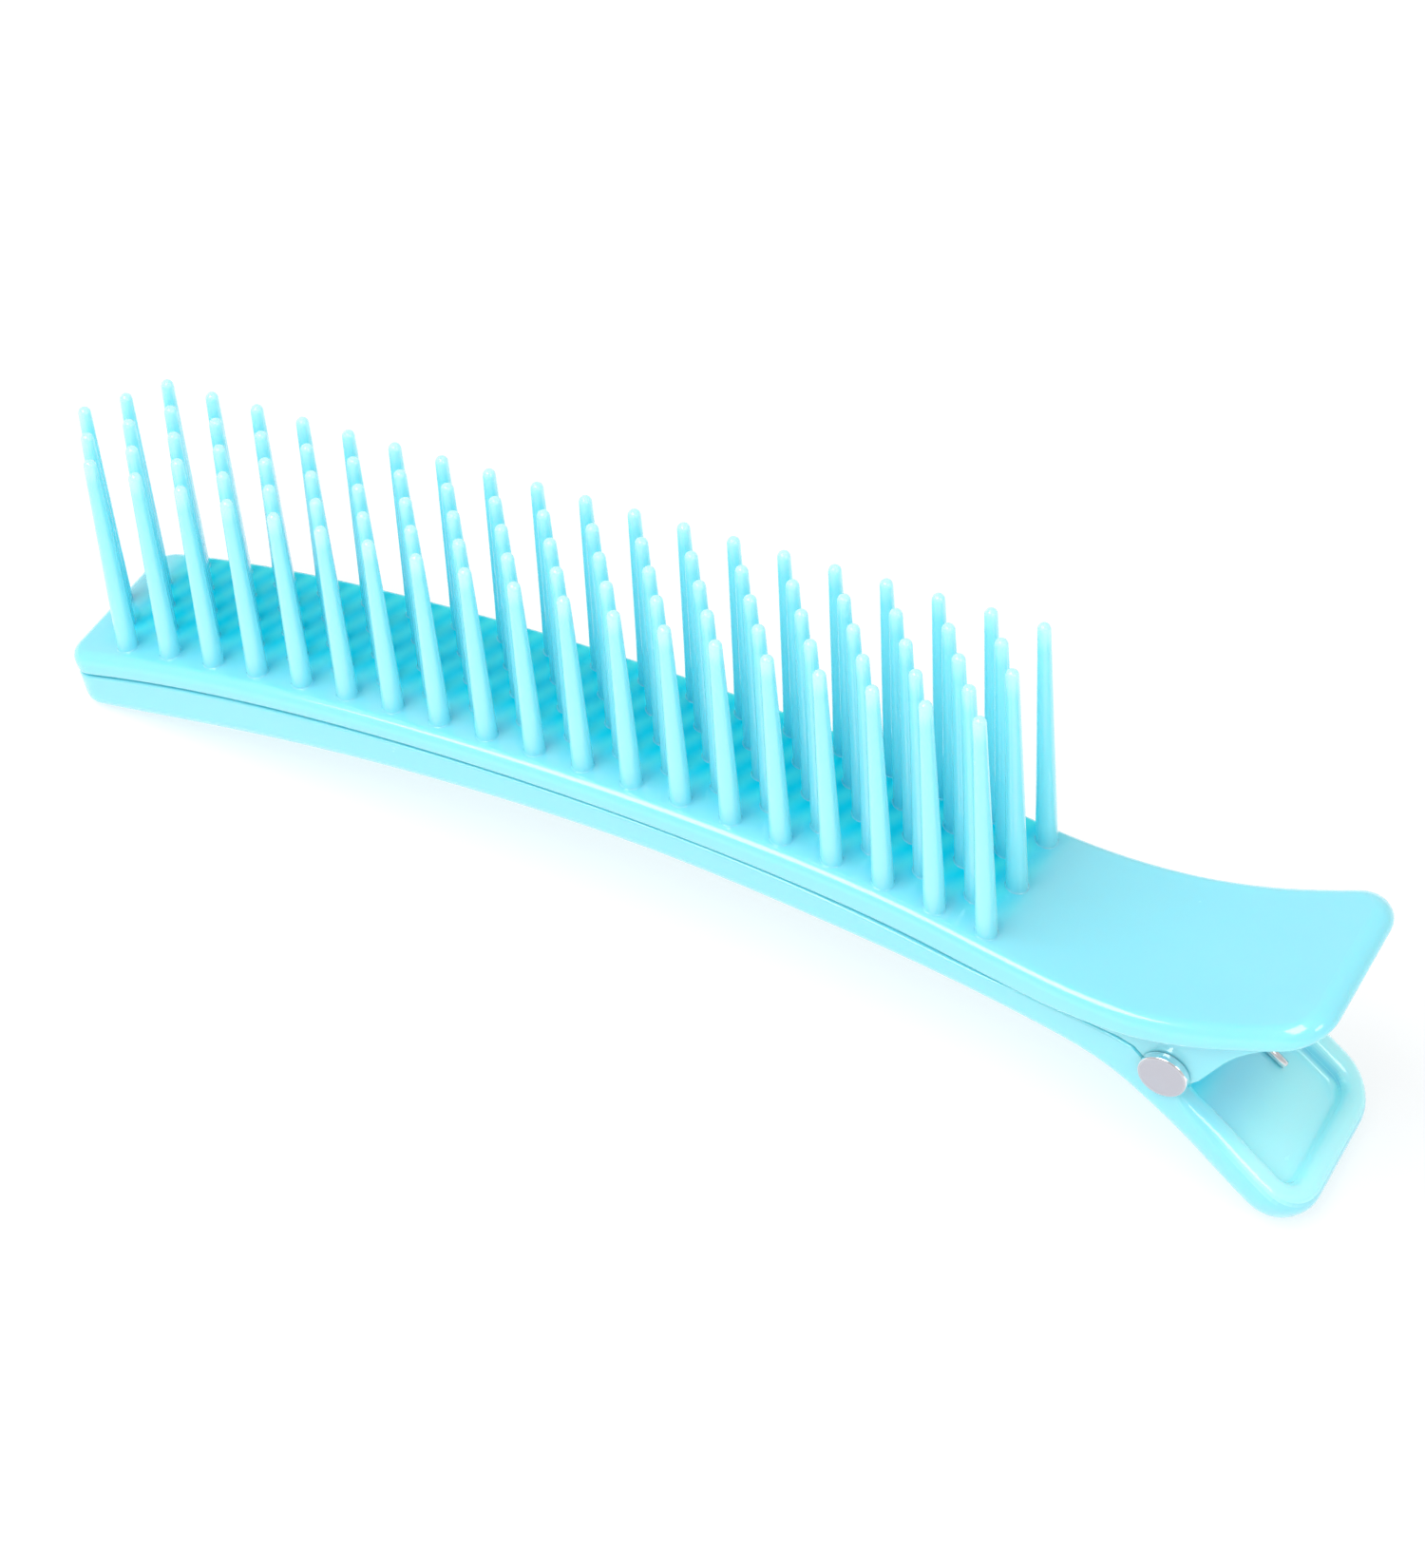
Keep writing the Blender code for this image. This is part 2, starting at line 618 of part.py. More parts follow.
def main():
    """Builds every piece, hangs each on its pivot and lays the clip down."""
    for item in list(bpy.data.objects):
        bpy.data.objects.remove(item)
    clip = bpy.data.objects.new("clip_at_rest", None)
    jaw_pivot = bpy.data.objects.new("jaw_pivot", None)
    for empty in (clip, jaw_pivot):
        bpy.context.collection.objects.link(empty)
    jaw_pivot.parent = clip
    comb_arm, lower_arm = build_comb_arm(), build_lower_arm()
    rivet, cap = build_rivet(), build_rivet_cap()
    spring = build_torsion_spring()
    for solid in (comb_arm, rivet, cap):
        solid.parent = jaw_pivot
    for solid in (lower_arm, spring):
        solid.parent = clip
    lay_down(clip, lower_arm)
    stand_on_origin(clip, (comb_arm, lower_arm, rivet, cap))
    bpy.context.view_layer.update()


main()
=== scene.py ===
"""Looks of the comb sectioning clip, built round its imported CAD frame.

Shapes are drawn in millimetres from the pivot: +X towards the levers, +Y across the clip to its
back and +Z towards the comb's tips. Each finished mesh is then turned by the clip's tilt and moved
to the pivot's place, so the clip lies on its jaw tip and on the end of its lower lever.
"""

import json
import math

import bmesh
import bpy
import numpy as np
from mathutils import Matrix, Vector


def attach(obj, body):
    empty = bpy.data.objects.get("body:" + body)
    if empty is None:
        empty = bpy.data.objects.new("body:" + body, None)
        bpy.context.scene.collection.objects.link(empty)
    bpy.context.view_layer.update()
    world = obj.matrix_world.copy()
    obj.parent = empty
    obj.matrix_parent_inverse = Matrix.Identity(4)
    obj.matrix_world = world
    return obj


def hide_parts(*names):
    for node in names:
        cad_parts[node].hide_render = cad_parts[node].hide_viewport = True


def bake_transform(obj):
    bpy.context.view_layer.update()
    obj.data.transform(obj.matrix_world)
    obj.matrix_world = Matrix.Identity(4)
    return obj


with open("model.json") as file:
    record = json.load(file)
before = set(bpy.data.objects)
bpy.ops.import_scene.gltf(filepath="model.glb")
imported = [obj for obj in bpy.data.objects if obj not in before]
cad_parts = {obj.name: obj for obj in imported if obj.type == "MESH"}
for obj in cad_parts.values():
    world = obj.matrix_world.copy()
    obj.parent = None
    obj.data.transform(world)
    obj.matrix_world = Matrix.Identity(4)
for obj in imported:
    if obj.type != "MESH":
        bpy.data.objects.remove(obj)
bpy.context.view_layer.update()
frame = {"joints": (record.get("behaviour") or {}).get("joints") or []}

MM = 0.001
CLIP_TILT = math.radians(-7.55427)
PIVOT = Vector(frame["joints"][0]["pos_m"])
CLIP = Matrix.Translation(PIVOT) @ Matrix.Rotation(CLIP_TILT, 4, "Y")

# Comb: staggered rows of round, tapered teeth. Each row is given by its place across the clip, in
# row pitches, and by the places of its first and last tooth along the clip, in tooth pitches
TOOTH_PITCH = 4.8
FIRST_TOOTH_X = -103.2
ROW_PITCH = 3.0
ROWS = ((2, 0, 18), (1, -0.5, 17.5), (0, -1, 18), (-1, -0.5, 17.5), (-2, 0, 18))
TOOTH_BASE_RADIUS = 0.97
TOOTH_TIP_RADIUS = 0.58
TOOTH_SIDES = 20
TOOTH_COVE = 0.2
TOOTH_COVE_SUNK = 0.03
TOOTH_ROOT_DEPTH = 0.5
PLATE_FOLLOWED_UP_TO = 3.0
COMB_MIDDLE_X = -60.0
COMB_HALF_LENGTH = 43.2
TIP_LINE_HEIGHT = 30.4
TIP_LINE_RISE = 0.85
TIPS_LEAN_IN = 0.5
FEET_SHIFT = 0.1
FEET_LEAN_IN = 0.4
TIP_ROW_PITCH = 3.08

# How much painted light a tooth gets, as a paler colour and a faint glow: most of it comes just above
# the foot, the rest at the very tip
SHAFT_PALENESS = 0.7
SHAFT_PALE_ABOVE = 3.5
TIP_STARTS_BELOW = 2.6
TIP_PALE_BELOW = 0.4
SURELY_TOOTH_ABOVE = 4.0

# Comb arm. Its lists give (x, height or size) from the jaw tip to the lever's end, and its pairs
# give where a change along the arm starts and ends
COMB_ARM_TOP = (
    (-108.8, 6.55), (-103.2, 7.8), (-81.6, 10.7), (-60.0, 11.5), (-38.4, 10.6), (-24.0, 8.6),
    (-16.8, 7.1), (-12.0, 6.3), (-7.2, 5.9), (-2.4, 6.1), (2.4, 7.15), (7.2, 8.8), (13.2, 11.4),
)
COMB_ARM_HALF_WIDTH = (
    (-108.8, 8.3), (-60.0, 8.3), (-32.0, 8.05), (-18.0, 8.05), (-12.0, 8.4), (-2.4, 9.2),
    (2.4, 9.45), (8.0, 9.5), (13.2, 9.4),
)
COMB_ARM_THICKNESS = (
    (-108.8, 2.3), (-84.0, 2.1), (-55.0, 2.25), (-37.0, 2.65), (-24.0, 2.95), (-12.0, 2.9),
    (-4.0, 2.6), (3.0, 2.2), (13.2, 2.1),
)
COMB_ARM_TOP_FILLET = 1.1
LEVER_TOP_FILLET = 1.4
TOP_FILLET_CHANGE = (-4.0, 4.0)
COMB_ARM_EDGE_FILLET = 0.6
TIP_CORNER_RADIUS = 2.4
UPPER_LEVER_CORNER_RADIUS = 4.0
UNDERSIDE_RECESS = 0.6
JAW_WALL = 1.75
RECESS_DRAFT = 0.1
RECESS_FADE = (-19.0, -16.0)
SKIRT_START_X = -14.0
SKIRT_EDGE = ((-7.7, 2.6), (-4.3, 2.05), (-2.9, 1.5))

# Lower arm, given in the same way
LOWER_ARM_BOTTOM = (
    (-107.8, 0.6), (-100.9, 1.7), (-90.3, 3.4), (-75.0, 5.1), (-60.5, 5.7), (-46.5, 5.2),
    (-33.0, 3.6), (-19.6, 1.45), (-10.9, -0.6), (-6.6, -2.0), (-2.5, -4.2), (2.0, -7.6),
    (6.3, -11.45), (10.85, -15.5),
)
LOWER_ARM_HALF_WIDTH = (
    (-107.8, 8.2), (-60.0, 8.2), (-32.0, 8.0), (-12.0, 8.05), (-4.0, 8.25), (1.0, 8.8),
    (5.0, 9.15), (10.85, 9.15),
)
LEVER_START_X = -1.0
SECTION_CHANGE = (LEVER_START_X - 2.0, LEVER_START_X + 4.0)
RIM_DROP = (LEVER_START_X - 3.5, LEVER_START_X + 0.5)
LEVER_RIM_HEIGHT = 3.75
LEVER_RIM_WIDTH = 2.7
LEVER_FLOOR = 2.05
LEVER_RIM_FILLET = 1.35
LOWER_LEVER_CORNER_RADIUS = 4.6
JAW_FLOOR = 1.6
LOWER_EDGE_FILLET = 1.4
LEVER_EDGE_FILLET = 1.9
RIM_FILLET = 0.25
INNER_RIM_SHARE = 0.8
FLOOR_COVE = 0.6
CHANNEL_DRAFT = 0.02
JAW_GAP = 0.13
SEAM_STEPS = 8
FIRST_RIB_X = -98.0
RIB_PITCH = 9.6
RIB_COUNT = 9
RIB_THICKNESS = 1.1
RIB_BELOW_RIM = 0.5
RIB_ROOT = 0.3
RIB_CREST = 0.25
RIB_CREST_MIDDLE = 0.08

# Pivot: the comb arm's ears, the lower arm's cheeks, the rivet, its cap and the spring. Outlines
# are (x, z) points in the side view
SIDE_PLANE = 8.1
EAR_THICKNESS = 1.35
EAR_RADIUS = 2.1
EAR_CLEARANCE = 0.3
EAR_RIM_GAP = 0.12
EAR_TONGUE_START = math.radians(165.0)
EAR_REAR_ANGLE = math.radians(53.6)
EAR_TURNS_BY = math.radians(44.0)
EAR_REAR_EDGE = (
    (2.92, -0.15), (3.9, 1.25), (5.3, 3.2), (7.7, 5.35), (10.2, 7.05), (12.2, 8.75),
)
EAR_ROOT_X = (12.2, 9.0, 6.0, 2.0, -3.0, -8.0, SKIRT_START_X)
EAR_ROOT_BELOW_TOP = 1.0
EAR_EDGE_FILLET = 0.3
EAR_COVE_X = (-9.0, 9.6)
EAR_COVE_GROWS = (-10.0, -5.0)
EAR_COVE_SHRINKS = (7.6, 10.0)
EAR_COVE_ONTO_EDGE = 0.12
EAR_COVE_LEAST = 0.05
EAR_COVE_SUNK = 0.02
EAR_COVE_ROOT = 0.4
EAR_ROOM_START = math.radians(163.0)
EAR_ROOM_END_X = 6.4
EAR_ROOM_TOP = 6.0
SKIRT_ROOM = 0.05
CHEEK_OUTER = SIDE_PLANE - EAR_THICKNESS - EAR_CLEARANCE
CHEEK_INNER = 4.95
CHEEK_RADIUS = 2.5
CHEEK_CROWN = (math.radians(-35.0), math.radians(190.0))
CHEEK_ROOT = ((-4.6, -0.6), (-3.4, -2.6), (-0.6, -4.4), (0.9, -4.6), (1.6, -2.6))
CHEEK_SPARE = 0.6
SHANK_RADIUS = 1.0
SHANK_CHAMFER = 0.2
RUNNING_CLEARANCE = 0.08
HEAD_RADIUS = 2.2
HEAD_HEIGHT = 0.85
HEAD_SEAT_GAP = 0.05
HEAD_SEAT_INSET = 0.12
HEAD_SEAT_BEVEL = 0.1
HEAD_EDGE = 0.2
HEAD_LAND = 0.12
HEAD_DOME = 0.07
CAP_SOCKET_DEPTH = 0.45
CAP_SOCKET_SPARE = 0.1
BEYOND_SIDES = 12.0
WIRE_DIAMETER = 0.8
WIRE_SIDES = 16
WIRE_END_BEVEL = 0.08
WIRE_END_WIDTH = 0.8
COIL_RADIUS = 1.75
COIL_TURNS = 6
COIL_HALF_LENGTH = 3.5
LOWER_LEG_LENGTH = 9.9
UPPER_LEG_LENGTH = 9.6
LOWER_LEG_ANGLE = math.radians(-42.2)
UPPER_LEG_ANGLE = math.radians(28.0)

QUARTER = 0.5 * math.pi


# ---------------------------------------------------------------- lines and outlines

def natural_cubic(x, y, at):
    """Values at `at` of the natural cubic spline through the points (x, y)."""
    x, y, at = (np.asarray(values, float) for values in (x, y, at))
    gap = np.diff(x)
    system = np.eye(len(x))
    right = np.zeros(len(x))
    for i in range(1, len(x) - 1):
        system[i, i - 1 : i + 2] = gap[i - 1], 2 * (gap[i - 1] + gap[i]), gap[i]
        right[i] = 6 * ((y[i + 1] - y[i]) / gap[i] - (y[i] - y[i - 1]) / gap[i - 1])
    bend = np.linalg.solve(system, right)
    left = np.clip(np.searchsorted(x, at) - 1, 0, len(gap) - 1)
    before, after, width = at - x[left], x[left + 1] - at, gap[left]
    return (
        (bend[left] * after**3 + bend[left + 1] * before**3) / (6 * width)
        + (y[left] / width - bend[left] * width / 6) * after
        + (y[left + 1] / width - bend[left + 1] * width / 6) * before
    )


class SideLine:
    """A smooth line in the side view, measured by its length s from the jaw tip."""

    def __init__(self, points):
        x, z = np.transpose(points)
        self.x = np.linspace(x[0], x[-1], 1500)
        self.z = natural_cubic(x, z, self.x)
        self.slope = np.gradient(self.z, self.x)
        steps = np.hypot(np.diff(self.x), np.diff(self.z))
        self.s = np.concatenate([[0.0], np.cumsum(steps)])

    def length(self):
        return self.s[-1]

    def s_at(self, x):
        return float(np.interp(x, self.x, self.s))

    def x_at(self, s):
        return float(np.interp(s, self.s, self.x))

    def height(self, x):
        return float(np.interp(x, self.x, self.z))

    def point(self, s, rise):
        """(x, z) of the point `rise` above the line, square to it."""
        x, z, slope = (np.interp(s, self.s, values) for values in (self.x, self.z, self.slope))
        size = math.hypot(1.0, slope)
        return float(x - rise * slope / size), float(z + rise / size)


def along(points):
    """A smooth measure that varies with x, as a function."""
    x, y = np.transpose(points)
    fine_x = np.linspace(x[0], x[-1], 800)
    fine_y = natural_cubic(x, y, fine_x)
    return lambda at: float(np.interp(at, fine_x, fine_y))


def ramp(at, start, end):
    """0 before start, 1 after end, eased between them; start may lie after end to turn it round."""
    t = min(max((at - start) / (end - start), 0.0), 1.0)
    return t * t * (3 - 2 * t)


def evenly(first, last, steps):
    """Values from first to last, in equal steps."""
    return [first + (last - first) * i / steps for i in range(steps + 1)]


def plan_outline(line, half_width, tip_radius, end_radius, corner_steps=10, spacing=1.6):
    """Half of an arm's plan: (s, y, normal s, normal y) from the middle of one end to the other."""
    length, probe = line.length(), 0.1
    spots = []
    for angle in evenly(0.0, QUARTER, corner_steps):
        y = half_width(line.x_at(tip_radius)) - tip_radius * (1 - math.sin(angle))
        spots.append((tip_radius * (1 - math.cos(angle)), y, -math.cos(angle), math.sin(angle)))
    first, last = tip_radius, length - end_radius
    count = int((last - first) / spacing)
    for s in evenly(first, last, count)[1:-1]:
        slope = (half_width(line.x_at(s + probe)) - half_width(line.x_at(s - probe))) / (2 * probe)
        size = math.hypot(slope, 1.0)
        spots.append((s, half_width(line.x_at(s)), -slope / size, 1.0 / size))
    for angle in evenly(QUARTER, 0.0, corner_steps):
        y = half_width(line.x_at(last)) - end_radius * (1 - math.sin(angle))
        s = length - end_radius * (1 - math.cos(angle))
        spots.append((s, y, math.cos(angle), math.sin(angle)))
    return spots


def arc(radius, angle_from, angle_to, steps):
    """Points round the pivot, at equal turns."""
    turns = evenly(angle_from, angle_to, steps)
    return [(radius * math.cos(turn), radius * math.sin(turn)) for turn in turns]


def circle(radius, sides):
    """Points all the way round the pivot, without the first one again at the end."""
    return arc(radius, 0.0, 2 * math.pi * (1 - 1 / sides), sides - 1)


# ---------------------------------------------------------------- solids

def new_solid(name, points, faces):
    """An object from points in millimetres, its faces turned outwards."""
    mesh = bpy.data.meshes.new(name)
    mesh.from_pydata([Vector(point) * MM for point in points], [], faces)
    shape = bmesh.new()
    shape.from_mesh(mesh)
    bmesh.ops.recalc_face_normals(shape, faces=shape.faces)
    shape.to_mesh(mesh)
    shape.free()
    solid = bpy.data.objects.new(name, mesh)
    bpy.context.collection.objects.link(solid)
    return solid


def combine(solid, tool, operation):
    """Cuts `tool` from `solid`, or joins it on, and removes it."""
    modifier = solid.modifiers.new(tool.name, "BOOLEAN")
    modifier.operation = operation
    modifier.solver = "EXACT"
    modifier.object = tool
    graph = bpy.context.evaluated_depsgraph_get()
    result = bpy.data.meshes.new_from_object(solid.evaluated_get(graph))
    solid.modifiers.clear()
    solid.data = result
    bpy.data.objects.remove(tool)


def bands(layer_count, count):
    """Faces between the layers of a body, each a loop of `count` points."""
    faces = []
    for layer in range(layer_count - 1):
        a, b = layer * count, (layer + 1) * count
        for i in range(count):
            j = (i + 1) % count
            faces.append((a + i, a + j, b + j, b + i))
    return faces


def ringed_slab(name, line, outline, rings):
    """A closed slab along `line`: rings are (inset, rise) functions of x, from one cap to the other."""
    points = []
    for inset, rise in rings:
        half = []
        for s, y, normal_s, normal_y in outline:
            x = line.x_at(s)
            shift = inset(x)
            spot = line.point(s - shift * normal_s, rise(x))
            half.append((spot[0], y - shift * normal_y, spot[1]))
        points += half + [(x, -y, z) for x, y, z in reversed(half)]
    count = 2 * len(outline)
    faces = bands(len(rings), count)
    for base in (0, (len(rings) - 1) * count):
        for i in range(len(outline) - 1):
            faces.append((base + i, base + i + 1, base + count - 2 - i, base + count - 1 - i))
    return new_solid(name, points, faces)


def fillet_rings(radius, turn_from, turn_to, steps, level=None):
    """Rings round an outer fillet; angles run from outwards (0) to upwards (a quarter turn).

    `level` is the height of the fillet's centre, which is the radius itself by default.
    """
    level = level or radius

    def ring(angle):
        out, up = math.cos(angle), math.sin(angle)
        return lambda x: radius(x) * (1 - out), lambda x: level(x) + radius(x) * up

    return [ring(angle) for angle in evenly(turn_from, turn_to, steps)]


def layered(name, layers):
    """A closed body through layers: lists of equally many points, the first and last as its ends."""
    count = len(layers[0])
    points = [point for layer in layers for point in layer]
    ends = [tuple(range(count)), tuple(range(len(points) - count, len(points)))]
    return new_solid(name, points, ends + bands(len(layers), count))


def extruded(name, outline, y_from, y_to):
    """A plate whose side view is `outline`, between two planes across the clip."""
    return layered(name, [[(x, y, z) for x, z in outline] for y in (y_from, y_to)])


def drum(name, radius, y_from, y_to, sides=64):
    """A straight round bar on the pivot axis."""
    return extruded(name, circle(radius, sides), y_from, y_to)


def turned(name, profile, sides=72):
    """A body turned about the pivot axis; profile is (y, radius) from end to end."""
    ring = circle(1.0, sides)
    return layered(name, [[(x * r, y, z * r) for x, z in ring] for y, r in profile])


def shrunk(outline, inset):
    """The side-view outline moved in by `inset`, square to its edges."""
    spots = [Vector(spot) for spot in outline]
    area = sum(a.x * b.y - b.x * a.y for a, b in zip(spots, spots[1:] + spots[:1]))
    turn = 1.0 if area > 0 else -1.0
    moved = []
    for i, spot in enumerate(spots):
        before = (spot - spots[i - 1]).normalized()
        after = (spots[(i + 1) % len(spots)] - spot).normalized()
        normal = Vector((-(before.y + after.y), before.x + after.x)).normalized() * turn
        moved.append(tuple(spot + normal * inset))
    return moved


# ---------------------------------------------------------------- comb arm

def comb_position(x):
    """-1 at the outer rows' first teeth, 0 at the comb's middle and 1 at the rows' last teeth."""
    return (x - COMB_MIDDLE_X) / COMB_HALF_LENGTH


def tooth_profile(length):
    """(height, radius) up a tooth: sunk foot, small cove, straight taper and domed tip."""
    foot = TOOTH_BASE_RADIUS + TOOTH_COVE
    profile = [(-TOOTH_ROOT_DEPTH, foot), (-TOOTH_COVE_SUNK, foot)]
    for angle in evenly(0.0, QUARTER, 4)[1:]:
        height = TOOTH_COVE * (1 - math.cos(angle)) - TOOTH_COVE_SUNK
        profile.append((height, foot - TOOTH_COVE * math.sin(angle)))
    neck = length - TOOTH_TIP_RADIUS
    for share in (0.1, 0.25, 0.45, 0.7, 0.9, 1.0):
        radius = TOOTH_BASE_RADIUS + (TOOTH_TIP_RADIUS - TOOTH_BASE_RADIUS) * share
        profile.append((TOOTH_COVE + (neck - TOOTH_COVE) * share, radius))
    for angle in evenly(0.0, QUARTER, 5)[1:-1]:
        profile.append((neck + TOOTH_TIP_RADIUS * math.sin(angle), TOOTH_TIP_RADIUS * math.cos(angle)))
    return profile


def tooth(top, base, tip):
    """Points and faces of one tooth that grows out of the curved plate."""
    length = (tip - base).length
    lean = (tip - base) / length
    profile = tooth_profile(length)
    points = []
    for height, radius in profile:
        centre = base + lean * height
        follow = 1 - ramp(height, 0.0, PLATE_FOLLOWED_UP_TO)
        for dx, dy in circle(radius, TOOTH_SIDES):
            dz = (top.height(base.x + dx) - top.height(base.x)) * follow
            points.append(centre + Vector((dx, dy, dz)))
    faces = [tuple(reversed(range(TOOTH_SIDES))), *bands(len(profile), TOOTH_SIDES)]
    tip_at = len(points)
    last = tip_at - TOOTH_SIDES
    for i in range(TOOTH_SIDES):
        faces.append((last + i, last + (i + 1) % TOOTH_SIDES, tip_at))
    return [*points, tip], faces


def comb_teeth(top):
    """All the teeth as one set of closed bodies, rooted inside the plate."""
    points, faces = [], []
    for row, first, last in ROWS:
        for step in np.arange(first, last + 0.5, 1.0):
            x = FIRST_TOOTH_X + TOOTH_PITCH * step
            place = comb_position(x)
            tip_z = TIP_LINE_HEIGHT + TIP_LINE_RISE * place
            tip = Vector((x - TIPS_LEAN_IN * place, row * TIP_ROW_PITCH, tip_z))
            foot_x = x + FEET_SHIFT - FEET_LEAN_IN * place
            base = Vector((foot_x, row * ROW_PITCH, top.height(foot_x)))
            new_points, new_faces = tooth(top, base, tip)
            faces += [tuple(len(points) + i for i in face) for face in new_faces]
            points += new_points
    return new_solid("teeth", points, faces)


def mark_teeth(arm, top):
    """Stores that the arm has teeth, and how much painted light each point gets: 0 on the plate, 1 at a
    tooth's tip.
    """
    pale = []
    for vertex in arm.data.vertices:
        x, _, z = vertex.co / MM
        height = z - top.height(x)
        below_tip = TIP_LINE_HEIGHT + TIP_LINE_RISE * comb_position(x) - z
        shaft = SHAFT_PALENESS * ramp(height, 0.0, SHAFT_PALE_ABOVE)
        end = (1 - SHAFT_PALENESS) * ramp(below_tip, TIP_STARTS_BELOW, TIP_PALE_BELOW)
        pale.append(shaft + end * (height > SURELY_TOOTH_ABOVE))
    for name, values in (("pale", pale), ("toothed", [1.0] * len(pale))):
        arm.data.attributes.new(name, "FLOAT", "POINT").data.foreach_set("value", values)


def skirt_edge(top, thickness):
    """Lower edge of an ear's skirt in the side view, from the arm's underside towards the pivot."""
    start = SKIRT_START_X
    return [(start, top.height(start) - thickness(start)), *SKIRT_EDGE]


def ear_outline(top, thickness):
    """Side view of an ear: a skirt that deepens towards the pivot, and a tongue round the rivet."""
    tongue = arc(EAR_RADIUS, EAR_TONGUE_START, 2 * math.pi + (EAR_REAR_ANGLE - QUARTER), 40)
    rear_x, rear_z = np.transpose(EAR_REAR_EDGE)
    fine = np.linspace(rear_x[0], rear_x[-1], 18)
    rear_edge = zip(fine, natural_cubic(rear_x, rear_z, fine))
    root = [(x, top.height(x) - EAR_ROOT_BELOW_TOP) for x in EAR_ROOT_X]
    return [*skirt_edge(top, thickness), *tongue, *rear_edge, *root]


def rounded_ear(top, thickness, side):
    """An ear whose outer rim is rounded."""
    outline = ear_outline(top, thickness)
    layers = [(side * (SIDE_PLANE - EAR_THICKNESS), outline)]
    for angle in evenly(0.0, QUARTER, 4):
        y = SIDE_PLANE - EAR_EDGE_FILLET * (1 - math.sin(angle))
        layers.append((side * y, shrunk(outline, EAR_EDGE_FILLET * (1 - math.cos(angle)))))
    return layered("ear", [[(x, y, z) for x, z in spots] for y, spots in layers])


def under_edge(top, thickness, x):
    """Height at x of the comb arm's underside."""
    s = top.s_at(x)
    edge_x, edge_z = top.point(s, -thickness(x))
    return edge_z + (x - edge_x) * float(np.interp(s, top.s, top.slope))


def ear_cove(top, half_width, thickness, side):
    """The hollow fillet between an ear's outer face and the flared edge above it."""
    root = EAR_COVE_ROOT
    y = SIDE_PLANE - EAR_COVE_SUNK
    layers = []
    for x in evenly(*EAR_COVE_X, 31):
        reach = half_width(x) - COMB_ARM_EDGE_FILLET - SIDE_PLANE + EAR_COVE_ONTO_EDGE
        reach *= ramp(x, *EAR_COVE_GROWS) * (1 - ramp(x, *EAR_COVE_SHRINKS))
        reach = max(reach, EAR_COVE_LEAST)
        z = under_edge(top, thickness, x) + EAR_COVE_SUNK
        section = [(y - root, z + root), (y - root, z - reach)]
        for angle in evenly(math.pi, QUARTER, 8):
            section.append((y + reach * (1 + math.cos(angle)), z - reach * (1 - math.sin(angle))))
        section.append((y + reach, z + root))
        layers.append([(x, side * spot_y, spot_z) for spot_y, spot_z in section])
    return layered("cove", layers)


def drill_bore(arm):
    """Cuts the hole that the rivet's shank turns in."""
    bore = drum("bore", SHANK_RADIUS + RUNNING_CLEARANCE, -BEYOND_SIDES, BEYOND_SIDES)
    combine(arm, bore, "DIFFERENCE")


def comb_arm():
    """Upper jaw, teeth, upper lever and ears as one moulding."""
    top = SideLine(COMB_ARM_TOP)
    half_width, thickness = along(COMB_ARM_HALF_WIDTH), along(COMB_ARM_THICKNESS)
    outline = plan_outline(top, half_width, TIP_CORNER_RADIUS, UPPER_LEVER_CORNER_RADIUS)
    lower = COMB_ARM_EDGE_FILLET

    def upper(x):
        growth = ramp(x, *TOP_FILLET_CHANGE)
        return COMB_ARM_TOP_FILLET + (LEVER_TOP_FILLET - COMB_ARM_TOP_FILLET) * growth

    def recess(x):
        return UNDERSIDE_RECESS * (1 - ramp(x, *RECESS_FADE))

    rings = fillet_rings(upper, QUARTER, 0.0, 8, lambda x: -upper(x))
    rings += fillet_rings(lambda x: lower, 0.0, -QUARTER, 5, lambda x: lower - thickness(x))
    rings.append((lambda x: JAW_WALL, lambda x: -thickness(x)))
    rings.append((lambda x: JAW_WALL + RECESS_DRAFT, lambda x: recess(x) - thickness(x)))
    arm = ringed_slab("comb_arm_moulding", top, outline, rings)
    for side in (-1, 1):
        combine(arm, rounded_ear(top, thickness, side), "UNION")
        combine(arm, ear_cove(top, half_width, thickness, side), "UNION")
    drill_bore(arm)
    combine(arm, comb_teeth(top), "UNION")
    mark_teeth(arm, top)
    return arm


# ---------------------------------------------------------------- lower arm

def seam_height(top, thickness, x):
    """Height of the comb arm's lower edge at the clip's side."""
    if x > SKIRT_START_X:
        return float(np.interp(x, *np.transpose(skirt_edge(top, thickness))))
    return under_edge(top, thickness, x)


def lower_arm_height(bottom, top, thickness):
    """Height of the lower arm's rim above its underside, along the arm."""

    def height(x):
        s = bottom.s_at(x)
        jaw = seam_height(top, thickness, x) - bottom.height(x)
        for _ in range(SEAM_STEPS):
            edge_x, edge_z = bottom.point(s, jaw)
            jaw += seam_height(top, thickness, edge_x) - JAW_GAP - edge_z
        return jaw + (LEVER_RIM_HEIGHT - jaw) * ramp(x, *RIM_DROP)

    return height


